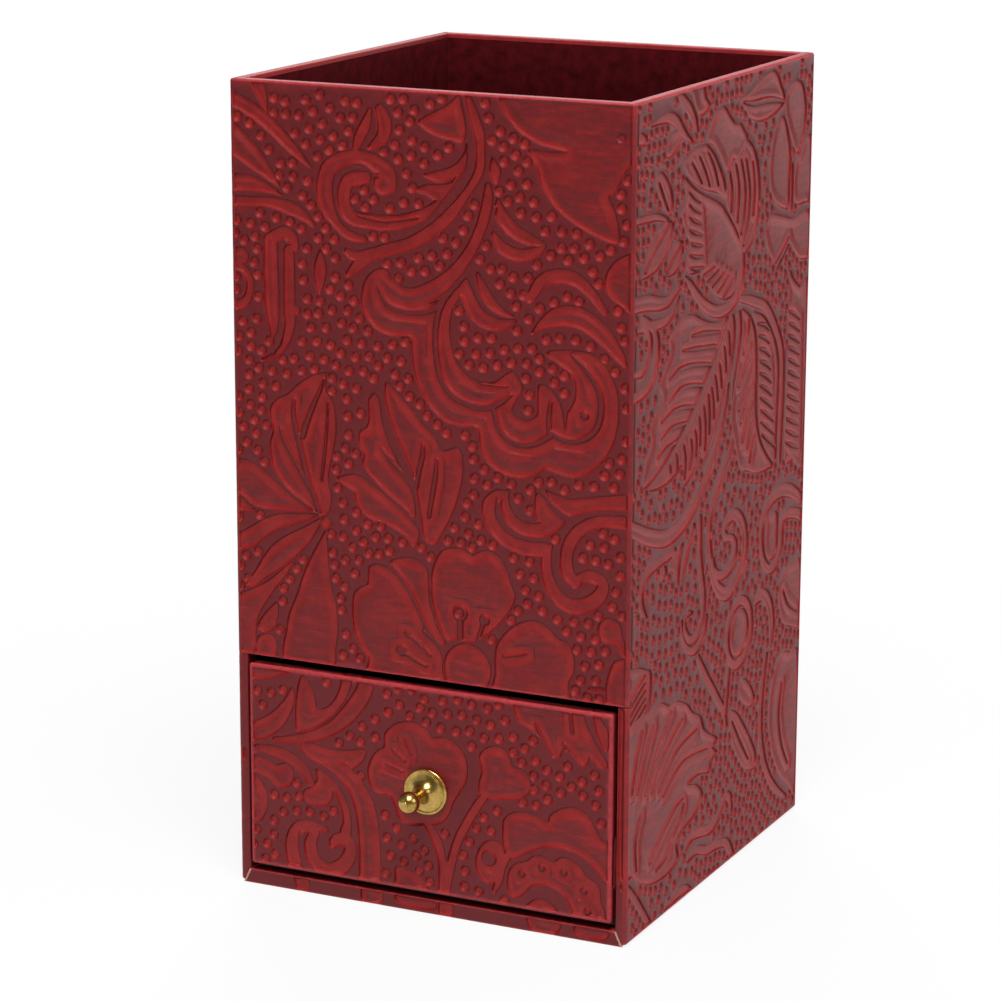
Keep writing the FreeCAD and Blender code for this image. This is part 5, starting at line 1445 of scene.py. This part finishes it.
def side_groove(travel, y):
    """Grooves at the front seam above the opening and along the stile's top."""
    above = y < HEIGHT - OPENING_TOP + NEARLY
    beside = np.where(above, seam(np.abs(travel - STILE_TO)), 0.0)
    on_stile = travel < STILE_TO + NEARLY
    return beside + np.where(on_stile & ~above, seam(y - (HEIGHT - OPENING_TOP)), 0.0)


side_relief = Relief((-17, 106), (-5, 184), STEP)
side_relief.draw(drawings["side"], same)
corners = [(BAY_HALF, FOLD_END), (BAY_HALF, -HALF_DEPTH), (HALF_WIDTH, -HALF_DEPTH)]
corners += [(HALF_WIDTH, HALF_DEPTH), (FLAT_END, HALF_DEPTH)]
right_plan = FoldedLine(corners, [STILE_FOLD, CORNER, CORNER], [2 * STEP, STEP, STEP, STEP], STEP)
side_section = side_rows(STEP)
right_patch = wall_patch(
    side_section,
    right_plan,
    side_relief,
    lambda t: (t - STILE_TO + CORNER) * SIDE_SCALE,
    pattern_rows(side_section),
    side_groove,
    stile_cells(side_section, right_plan.travel),
)
mitre_stile(right_patch)
side_spots = pebble_spots(side_relief, drawings["side"], same, SIDE_SPAN)
right_sheet = finished(welded_sheet("right_sheet", [right_patch]), on_patch(right_patch, side_spots))

# %% The back and the left, from the same roller
FRONT_WIDE = 95.0
SIDE_WIDE = 103.0
BACK_START = SIDE_WIDE
LEFT_START = BACK_START + FRONT_WIDE
ROLLER_SHIFT = 62.0
ROLLER_REPEAT = 180.0


def on_back(points):
    """The front's drawing, seen from the other way round, behind the right side."""
    return points * (-1, 1) + (LEFT_START, 0)


def on_left(shift):
    """The side's drawing turned about and shifted along the roller."""
    return lambda points: points * (-1, 1) + (LEFT_START + SIDE_WIDE, shift)


back_section = side_rows(BACK_STEP)
back_plan = FoldedLine([(FLAT_END, HALF_DEPTH), (-FLAT_END, HALF_DEPTH)], [], [BACK_STEP], BACK_STEP)
back_relief = Relief((BACK_START - 3, LEFT_START + 3), (-5, 184), BACK_STEP)
back_words = drawings["front"] + drawings["drawer"]
back_relief.draw(back_words, on_back)
back_patch = wall_patch(
    back_section,
    back_plan,
    back_relief,
    lambda t: BACK_START + (t + CORNER) * FRONT_SCALE,
    pattern_rows(back_section),
)
back_spots = pebble_spots(back_relief, back_words, on_back, ((BACK_START, LEFT_START), (1.2, 179)))
back_sheet = finished(welded_sheet("back_sheet", [back_patch]), on_patch(back_patch, back_spots))

corners = [(-x, y) for x, y in corners[::-1]]
spacing = [BACK_STEP, BACK_STEP, STEP, 2 * STEP]
left_plan = FoldedLine(corners, [CORNER, CORNER, STILE_FOLD], spacing, STEP)
left_relief = Relief((LEFT_START - 3, LEFT_START + 120), (-5, 184), BACK_STEP)
for shift in (ROLLER_SHIFT, ROLLER_SHIFT - ROLLER_REPEAT):
    left_relief.draw(drawings["side"], on_left(shift))
left_end = left_plan.travel[-1]
left_patch = wall_patch(
    back_section,
    left_plan,
    left_relief,
    lambda t: LEFT_START + (t - QUARTER + CORNER) * SIDE_SCALE,
    pattern_rows(back_section),
    lambda t, y: side_groove(left_end - t, y),
    stile_cells(back_section, left_end - left_plan.travel),
)
mitre_stile(left_patch)
left_span = ((LEFT_START + 0.4, LEFT_START + 102.6), (1.2, 179))
left_spots = pebble_spots(left_relief, [], same, left_span)
left_sheet = finished(welded_sheet("left_sheet", [left_patch]), on_patch(left_patch, left_spots))

# %% [markdown]
# ## The lining of the well
# The lining runs over the ends of the turned-in sheet. Real paper is pulled taut across that step,
# so it slopes instead of dropping. The profile of the paper is swept round the well's four walls.

# %% Taut lining
SLOPE = 18.0
SLOPE_STEPS = 25
INSIDE_BEND = 0.4
SOLID_FOLD = math.radians(40)
lining_low, lining_high = node_box("well_lining")
floor_low, floor_high = node_box("well_floor_lining")
PAPER = floor_high[2] - floor_low[2]


def lining_profile():
    """Closed profile (inset from the outer faces, height) of the lining paper, face first."""
    top, bottom = lining_high[2], lining_low[2]
    board = HALF_WIDTH - lining_high[0]
    points = []
    for share in np.linspace(0, 1, SLOPE_STEPS):
        points.append((board + SHEET * (1 - ease(share, 0, 1)), TURN_IN_END + 1.0 - SLOPE * share))
    over = board + SHEET
    back = [(over, top - 0.1), (over, TURN_IN_END + 1.0), *points[1:], (board, bottom)]
    face = [(x + PAPER, z) for x, z in back]
    lip = [(over + PAPER * 0.75, top), (over + PAPER * 0.25, top)]
    return face[::-1] + lip + back


def swept_walls(name, profile):
    """Sweep a closed profile round the inside of the box, with small bends in the corners."""
    rings = []
    for inset, z in profile:
        half_x, half_y = HALF_WIDTH - inset - INSIDE_BEND, HALF_DEPTH - inset - INSIDE_BEND
        ring = []
        for k, (sx, sy) in enumerate(((1, 1), (-1, 1), (-1, -1), (1, -1))):
            for turn in np.linspace(k, k + 1, 5) * math.pi / 2:
                x, y = INSIDE_BEND * math.cos(turn), INSIDE_BEND * math.sin(turn)
                ring.append((sx * half_x + x, sy * half_y + y, z))
        rings.append(ring)
    size = len(rings[0])
    faces = []
    for a in range(len(rings)):
        b = (a + 1) % len(rings)
        for k in range(size):
            n = (k + 1) % size
            faces.append((a * size + k, a * size + n, b * size + n, b * size + k))
    mesh = bpy.data.meshes.new(name)
    mesh.from_pydata([Vector(spot) * MM for ring in rings for spot in ring], [], faces)
    return closed_solid(name, mesh, lining)


def closed_solid(name, mesh, finish):
    """Turn the faces outward, smooth them, and give the mesh an object and a finish."""
    shell = bmesh.new()
    shell.from_mesh(mesh)
    bmesh.ops.recalc_face_normals(shell, faces=shell.faces)
    shell.to_mesh(mesh)
    shell.free()
    mesh.shade_smooth()
    mesh.set_sharp_from_angle(angle=SOLID_FOLD)
    mesh.materials.append(finish)
    obj = bpy.data.objects.new(name, mesh)
    bpy.context.collection.objects.link(obj)
    return obj


taut_lining = swept_walls("taut_lining", lining_profile())
print("lining faces:", len(taut_lining.data.polygons))

# %% [markdown]
# ## The sheet under the base
# It comes out of the bay, folds down over the sill, and goes under the foot. Its ends are mitred
# against the stiles, so its half-width grows on the way down.

# %% Base sheet
RAIL_ROWS = 176.0
MITRE_GAP = 0.12
BAY_GAP = 0.02
FRAY_WIDTH = 0.8
PLAIN_FROM = 2.0
NO_PEBBLES = np.array([[0.0, 0.0, 900.0]])
corners = [(BAY_TURN_IN, OPENING_FLOOR), (0, OPENING_FLOOR), (0, 0), (HALF_DEPTH + base_high[1], 0)]
base_section = FoldedLine(corners, [LIP_FOLD, STILE_FOLD], [3.0, STEP, 12.0], STEP)
rail_relief = Relief((-3, 98), (160, 184), STEP)
rail_relief.draw(drawings["drawer"], same)
base_across = np.linspace(-1, 1, 1 + 2 * round(HALF_WIDTH / STEP))
base_place = base_section.place(ON_FACE)
sill_share = np.clip((OPENING_FLOOR - base_place[:, 1]) / OPENING_FLOOR, 0, 1)
half_width = STILE_START + sill_share * MITRE_RUN - MITRE_GAP
half_width[base_place[:, 0] > LIP_FOLD + HAIR] = BAY_HALF - BAY_GAP
half_width[base_place[:, 1] < HAIR] = base_high[0]
base_x = half_width[:, None] * base_across
rail_y = base_section.travel - base_section.travel[row_at(base_section, 0, OPENING_FLOOR)] + RAIL_ROWS
rail_y = np.broadcast_to(rail_y[:, None], base_x.shape)
shown = (base_place[:, :1] < PLAIN_FROM) & (base_place[:, 1:] > HAIR)
tilt = base_section.out
outward = np.zeros((*base_x.shape, 3))
outward[..., 1:] = tilt[:, None, :]
base_gap = fold_gap(base_section)[:, None], FAR
rail_x = (base_x + HALF_WIDTH) * FRONT_SCALE
depth, base_values = point_values(rail_relief, rail_x, rail_y, base_gap, outward, shown=shown)
frayed = ease(half_width[:, None] - np.abs(base_x), 0.0, FRAY_WIDTH)
base_values["skin"] = np.where(base_place[:, :1] < 0.1, frayed, 1.0)


def base_points(sink):
    """Points of the base sheet, sunk by an amount under its face."""
    points = np.empty((*base_x.shape, 3))
    points[..., 0] = base_x
    points[..., 1] = -HALF_DEPTH + base_place[:, :1] - sink * tilt[:, :1]
    points[..., 2] = base_place[:, 1:] - sink * tilt[:, 1:]
    return points


def stops(count, every):
    """Every so many of a row of points, and always the last."""
    return np.unique(np.append(np.arange(0, count, every), count - 1))


base_patch = {
    "outer": base_points(depth),
    "inner": base_points(np.broadcast_to(sheet_back(base_section)[:, None], base_x.shape)),
    "cells": np.ones((base_section.count - 1, len(base_across) - 1), bool),
    "rows": base_section.stop,
    "columns": stops(len(base_across), 20),
    "values": base_values,
}
lower_sheet = finished(welded_sheet("lower_sheet", [base_patch]), NO_PEBBLES)

# %% [markdown]
# ## The drawer face
# The face is a flat field with a ring round it: over the softened edge, along the side, and back
# over the rear. Field and ring share their border points, so welding makes one skin of them.

# %% Flat field and folded ring
FACE_UP = (face_high[2] - face_low[2]) / 2
BACK_EDGE = 0.3
FIELD_STOP = 12
FACE_SPAN = ((1, 94), (127, 177))
corners = [(0, -FACE_UP), (FACE_HALF, -FACE_UP), (FACE_HALF, FACE_UP)]
corners += [(-x, -y) for x, y in corners] + corners[:1]
ring_plan = FoldedLine(corners, [FACE_EDGE, FACE_EDGE, 0, FACE_EDGE, FACE_EDGE], [STEP] * 6, STEP)
corners = [(FACE_EDGE, 0), (0, 0), (0, -FACE_THICK), (FACE_TURN_IN, -FACE_THICK)]
ring_section = FoldedLine(corners, [FACE_EDGE, BACK_EDGE], [STEP, STEP, 5.0], STEP)
face_relief = Relief((-2, 97), (122, 181), STEP)
face_relief.draw(drawings["drawer"], same)


def face_pattern(flat):
    """Pattern point of a place (across, up) on the drawer face."""
    return (flat[..., 0] + HALF_WIDTH) * FRONT_SCALE, HEIGHT - KNOB_LEVEL - flat[..., 1]


def face_point(flat, level):
    """Place in space of a point (across, up) of the face and a level in front of it."""
    up = np.broadcast_to(flat[..., 1] + KNOB_LEVEL, flat.shape[:-1])
    return np.stack([flat[..., 0], FACE_FRONT - np.broadcast_to(level, up.shape), up], -1)


def field_line(half):
    """Even steps from one side of the field to the other, with a point in the middle."""
    run = half - FACE_EDGE
    count = math.ceil(run / STEP - HAIR)
    side = run * np.arange(count + 1) / count
    return np.concatenate([-side[:0:-1], side])


def whole_line(half):
    """Even steps across the whole field."""
    run = 2 * (half - FACE_EDGE)
    count = math.ceil(run / STEP - HAIR)
    return run * np.arange(count + 1) / count - run / 2


across, up = field_line(FACE_HALF), whole_line(FACE_UP)[::-1]
flat = np.stack(np.broadcast_arrays(across[None, :], up[:, None]), -1)
outward = np.zeros((*flat.shape[:2], 3))
outward[..., 1] = -1.0
edge_gap = np.minimum(FACE_HALF - np.abs(flat[..., 0]), FACE_UP - np.abs(flat[..., 1])) - FACE_EDGE
edge_gaps = np.maximum(edge_gap, 0.0), FAR
depth, field_values = point_values(face_relief, *face_pattern(flat), edge_gaps, outward)
field_patch = {
    "outer": face_point(flat, -depth),
    "inner": face_point(flat, -SHEET),
    "cells": np.ones((len(up) - 1, len(across) - 1), bool),
    "rows": stops(len(up), FIELD_STOP),
    "columns": stops(len(across), FIELD_STOP),
    "values": field_values,
}

inset, level = ring_section.place(ON_FACE).T[..., None]
rim_points = ring_plan.place(np.full((1, 1), FACE_EDGE))[0]
unrolled = rim_points[None] + ring_section.travel[:, None, None] * ring_plan.out
tilt = ring_section.out
outward = np.empty((*unrolled.shape[:2], 3))
outward[..., 0] = -tilt[:, :1] * ring_plan.out[None, :, 0]
outward[..., 2] = -tilt[:, :1] * ring_plan.out[None, :, 1]
outward[..., 1] = -tilt[:, 1:]
ring_gap = fold_gap(ring_section)[:, None], FAR
shown = level > -FACE_THICK + HAIR
depth, ring_values = point_values(face_relief, *face_pattern(unrolled), ring_gap, outward, shown=shown)
back = sheet_back(ring_section)[:, None]
sunk = ring_plan.place(inset - depth * tilt[:, :1], inset)
under = ring_plan.place(np.broadcast_to(inset - back * tilt[:, :1], depth.shape), inset)
ring_patch = {
    "outer": face_point(sunk, level - depth * tilt[:, 1:]),
    "inner": face_point(under, level - back * tilt[:, 1:]),
    "cells": np.ones((ring_section.count - 1, ring_plan.count - 1), bool),
    "rows": ring_section.stop,
    "columns": np.unique(np.append(ring_plan.stop, [0, ring_plan.count - 1])),
    "values": ring_values,
}
drawn_x, drawn_y = pebble_spots(face_relief, drawings["drawer"], same, FACE_SPAN, fill=False).T
spots = np.stack([drawn_x / FRONT_SCALE - HALF_WIDTH, HEIGHT - KNOB_LEVEL - drawn_y], -1)
spots = spots[(np.abs(spots) < (FACE_HALF, FACE_UP)).all(1)]
drawer_sheet = finished(welded_sheet("drawer_sheet", [field_patch, ring_patch]), face_point(spots, 0.0))

# %% [markdown]
# ## The knob
# A turned part is one profile swept round its axis. Spin could sweep it; a table of rings is as
# short and gives closed poles. Ninety-six segments keep the ball round at the size it is shown.

# %% Profile and turning
SEGMENTS = 96
STUD = 1.5
DISC = 4.8
DISC_SWELL = 5.2
DISC_THICK = 0.8
TRUMPET_FOOT = (4.4, 0.64)
TRUMPET_WAIST = (2.168, 1.665)
NECK = 1.3
NECK_FROM = 4.3
BALL = 2.4
BALL_AT = 8.3
TIP = 0.9
TIP_END = 10.75


def bow(start, middle, end, count):
    """Points of the arc through three points, without its last point."""
    (ax, ay), (bx, by), (cx, cy) = start, middle, end
    d = 2 * (ax * (by - cy) + bx * (cy - ay) + cx * (ay - by))
    a2, b2, c2 = ax * ax + ay * ay, bx * bx + by * by, cx * cx + cy * cy
    x = (a2 * (by - cy) + b2 * (cy - ay) + c2 * (ay - by)) / d
    y = (a2 * (cx - bx) + b2 * (ax - cx) + c2 * (bx - ax)) / d
    angles = np.unwrap([math.atan2(p[1] - y, p[0] - x) for p in (start, middle, end)])
    steps = np.linspace(angles[0], angles[2], count, endpoint=False)
    r = math.hypot(ax - x, ay - y)
    return [(x + r * math.cos(a), y + r * math.sin(a)) for a in steps]


def turned_profile():
    """Knob profile as (radius, distance from the face): stud, disc, trumpet, neck, ball, tip."""
    stud_in = FACE_FRONT - knob_high[1]
    ball_start = BALL_AT - math.sqrt(BALL**2 - NECK**2)
    ball_end = BALL_AT + math.sqrt(BALL**2 - TIP**2)
    points = [(0.0, stud_in), (STUD - 0.1, stud_in), (STUD, stud_in + 0.1), (STUD, 0.0), (DISC, 0.0)]
    points += bow((DISC, 0.0), (DISC_SWELL, DISC_THICK / 2), (DISC, DISC_THICK), 12)[1:]
    points += [(DISC, DISC_THICK), (DISC - 0.25, DISC_THICK - 0.02)]
    points += bow(TRUMPET_FOOT, TRUMPET_WAIST, (NECK, NECK_FROM), 28)
    points += [(NECK, NECK_FROM), (NECK, ball_start)]
    points += bow((NECK, ball_start), (BALL, BALL_AT), (TIP, ball_end), 40)[1:]
    points += [(TIP, ball_end), (TIP - 0.02, TIP_END - 0.07), (TIP - 0.1, TIP_END), (0.0, TIP_END)]
    return points


def turned(name, profile):
    """Sweep a profile round the knob's axis, with one vertex at each pole."""
    turns = np.linspace(0, 2 * math.pi, SEGMENTS, endpoint=False)
    vertices, rings, faces = [], [], []
    for r, d in profile:
        if r == 0.0:
            rings.append([len(vertices)] * SEGMENTS)
            vertices.append((0.0, FACE_FRONT - d, KNOB_LEVEL))
            continue
        rings.append(list(range(len(vertices), len(vertices) + SEGMENTS)))
        for a in turns:
            vertices.append((r * math.cos(a), FACE_FRONT - d, KNOB_LEVEL + r * math.sin(a)))
    for low, high in zip(rings, rings[1:]):
        for k in range(SEGMENTS):
            n = (k + 1) % SEGMENTS
            loop = [low[k], low[n], high[n], high[k]]
            faces.append([v for i, v in enumerate(loop) if v != loop[i - 1]])
    mesh = bpy.data.meshes.new(name)
    mesh.from_pydata([Vector(v) * MM for v in vertices], [], faces)
    return closed_solid(name, mesh, brass)


knob = turned("turned_knob", turned_profile())
print("knob faces:", len(knob.data.polygons))

# %% [markdown]
# ## Who rides on what
# Each new piece follows a CAD body and stands for the nodes it replaces; the last column names a
# material slot that nothing reads.

# %% Join the pieces to the frame
for piece, body, node, slot in (
    (front_sheet, "carcass", "front_wrap", "cover"),
    (right_sheet, "carcass", "side_wrap", "cover"),
    (back_sheet, "carcass", "side_wrap", "cover"),
    (left_sheet, "carcass", "side_wrap", "cover"),
    (lower_sheet, "carcass", "base_sheet", "cover"),
    (drawer_sheet, "drawer", "drawer_front_wrap", "cover"),
    (taut_lining, "carcass", "well_lining", "lining"),
    (knob, "drawer", "knob", "brass"),
):
    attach(piece, body)
    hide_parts(node)

FINISH_OF = {
    "bay_lining": bay_paper,
    "tray_wrap": bay_paper,
    "lining": lining,
    "board": board,
    "knob": brass,
}
for node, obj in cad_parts.items():
    finish = next((FINISH_OF[key] for key in FINISH_OF if key in node), cover)
    obj.data.materials.clear()
    obj.data.materials.append(finish)
    print(f"{node}: {finish.name}")

# %% [markdown]
# ## Table, light and camera
# Leather-like sheet shows its relief by broad light from above, so the key lamp is large and nearly
# overhead. Side, sheen and back lamps graze the right side and the rim, and the fill is weak. The
# table's colour is pale round the object and dark away from it, a painted fall-off of light, so that
# it doesn't veil the front. The camera sees table and room as white. Reflections see that white
# too, but it fades along the table and towards the ceiling, as it does in a light tent.

# %% Pale table
TABLE_RADIUS = 3.0
TABLE_MIDDLE = (0.03, 0, 0)


def bright_rays(tree, share):
    """1 for what the camera sees, also through glass, and a share of 1 for reflections."""
    ray = add(tree, "ShaderNodeLightPath").outputs
    mirrored = add(tree, "ShaderNodeMath", {0: ray["Is Glossy Ray"], 1: share}, operation="MULTIPLY")
    seen = add(tree, "ShaderNodeMath", {0: ray["Is Camera Ray"], 1: mirrored}, operation="ADD")
    sockets = {0: seen, 1: ray["Is Transmission Ray"]}
    return add(tree, "ShaderNodeMath", sockets, operation="ADD", use_clamp=True)


bpy.ops.mesh.primitive_circle_add(vertices=96, radius=TABLE_RADIUS, fill_type="NGON", location=(0, 0, 0))
table_top = bpy.context.object
table_top.name = "pale table"
# Board painted with a matt white emulsion. Its colour darkens away from the object as a painted fall-off
# of light.
paint, tree, place = material("white table with painted light fall-off")
far = add(tree, "ShaderNodeVectorMath", {0: place}, operation="LENGTH")
aside = add(tree, "ShaderNodeVectorMath", {0: place, 1: TABLE_MIDDLE}, operation="DISTANCE")
# Colour fades from pale near the object to near black away from it: painted fall-off of light. The glow
# seen in reflections fades the same way.
near = add(tree, "ShaderNodeMapRange", {0: aside, 1: 0.25, 2: 0.7, 3: 1.0, 4: 0.05})
painted_light_falloff = add(tree, "ShaderNodeMix", {0: near, 6: colour("#202020"), 7: colour("#DADADA")}, data_type="RGBA")
shader = add(tree, "ShaderNodeBsdfPrincipled", {"Base Color": painted_light_falloff, "Roughness": 0.8})
far = add(tree, "ShaderNodeMapRange", {0: far, 1: 0.1, 2: 0.3, 3: 0.86}, interpolation_type="SMOOTHSTEP")
share = add(tree, "ShaderNodeMath", {0: far, 1: bright_rays(tree, near)}, operation="MULTIPLY")
glow = add(tree, "ShaderNodeEmission", {"Strength": 1.0})
surface = add(tree, "ShaderNodeMixShader", {0: share, 1: shader, 2: glow})
add(tree, "ShaderNodeOutputMaterial", {"Surface": surface})
table_top.data.materials.append(paint)
table_top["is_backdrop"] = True
print(f"{table_top.name}: {2 * TABLE_RADIUS} m across")

# %% Soft lamps and a pale room


def softbox(name, place, size, watts):
    """A square lamp that looks at the middle of the object."""
    lamp = bpy.data.lights.new(name, "AREA")
    lamp.size = size
    lamp.energy = watts
    obj = bpy.data.objects.new(name, lamp)
    obj.location = place
    aim = Vector((0, 0, HEIGHT * MM / 2)) - obj.location
    obj.rotation_euler = aim.to_track_quat("-Z", "Y").to_euler()
    bpy.context.collection.objects.link(obj)


softbox("key", (0.3, -0.55, 1.25), 0.7, 22.0)
softbox("side", (0.9, -0.1, 0.5), 0.5, 1.8)
softbox("sheen", (0.55, 0.9, 0.12), 0.6, 3.0)
softbox("fill", (-0.75, -0.9, 0.4), 0.8, 0.6)
softbox("back", (-0.5, 0.9, 0.9), 0.6, 7.5)
room = bpy.data.worlds.new("pale room")
bpy.context.scene.world = room
room.use_nodes = True
tree = room.node_tree
tree.nodes.clear()
way = add(tree, "ShaderNodeTexCoord").outputs["Generated"]
height = add(tree, "ShaderNodeSeparateXYZ", {0: way}).outputs["Z"]
ceiling = add(tree, "ShaderNodeMapRange", {0: height, 1: 0.0, 2: 0.3, 3: 0.2, 4: 0.03})
ambient = add(tree, "ShaderNodeBackground", {"Color": (1, 1, 1, 1), "Strength": 0.11})
white = add(tree, "ShaderNodeBackground", {"Color": (1, 1, 1, 1), "Strength": 1.0})
mixed = add(tree, "ShaderNodeMixShader", {0: bright_rays(tree, ceiling), 1: ambient, 2: white})
add(tree, "ShaderNodeOutputWorld", {"Surface": mixed})
print("lamps:", [lamp.name for lamp in bpy.data.lights])

# %% Camera
VIEW_AZIMUTH = math.radians(25.49)
VIEW_ELEVATION = math.radians(13.94)
VIEW_ROLL = math.radians(0.211)
VIEW_DISTANCE = 4.289 * HEIGHT * MM
VIEW_ASIDE = -0.0361 * HEIGHT * MM
VIEW_UP = -0.0449 * HEIGHT * MM
FOCAL_PIXELS = 3428.1
IMAGE_PIXELS = 1001
backward = Vector(
    (
        math.sin(VIEW_AZIMUTH) * math.cos(VIEW_ELEVATION),
        -math.cos(VIEW_AZIMUTH) * math.cos(VIEW_ELEVATION),
        math.sin(VIEW_ELEVATION),
    )
)
aside = Vector((math.cos(VIEW_AZIMUTH), math.sin(VIEW_AZIMUTH), 0))
upward = backward.cross(aside)
lens = bpy.data.cameras.new("view")
lens.sensor_width = 36.0
lens.lens = 36.0 * FOCAL_PIXELS / IMAGE_PIXELS
lens.clip_start = 0.01
eye = bpy.data.objects.new("view", lens)
bpy.context.collection.objects.link(eye)
eye.location = Vector((0, 0, HEIGHT * MM / 2)) + VIEW_DISTANCE * backward
eye.location += VIEW_ASIDE * aside + VIEW_UP * upward
rolled = math.cos(VIEW_ROLL) * aside + math.sin(VIEW_ROLL) * upward
axes = (rolled, backward.cross(rolled), backward)
eye.rotation_mode = "QUATERNION"
eye.rotation_quaternion = Matrix([[axis[k] for axis in axes] for k in range(3)]).to_quaternion()
bpy.context.scene.camera = eye
bpy.context.scene.view_settings.view_transform = "Standard"
print(f"camera {VIEW_DISTANCE:.3f} m from the middle, lens {lens.lens:.1f} mm")

# %% Sizes before and after, and the end
made_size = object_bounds()
sizes = {
    "cad": [list(corner) for corner in cad_size],
    "visual": [list(corner) for corner in made_size],
}
print("cad", sizes["cad"], "visual", sizes["visual"])
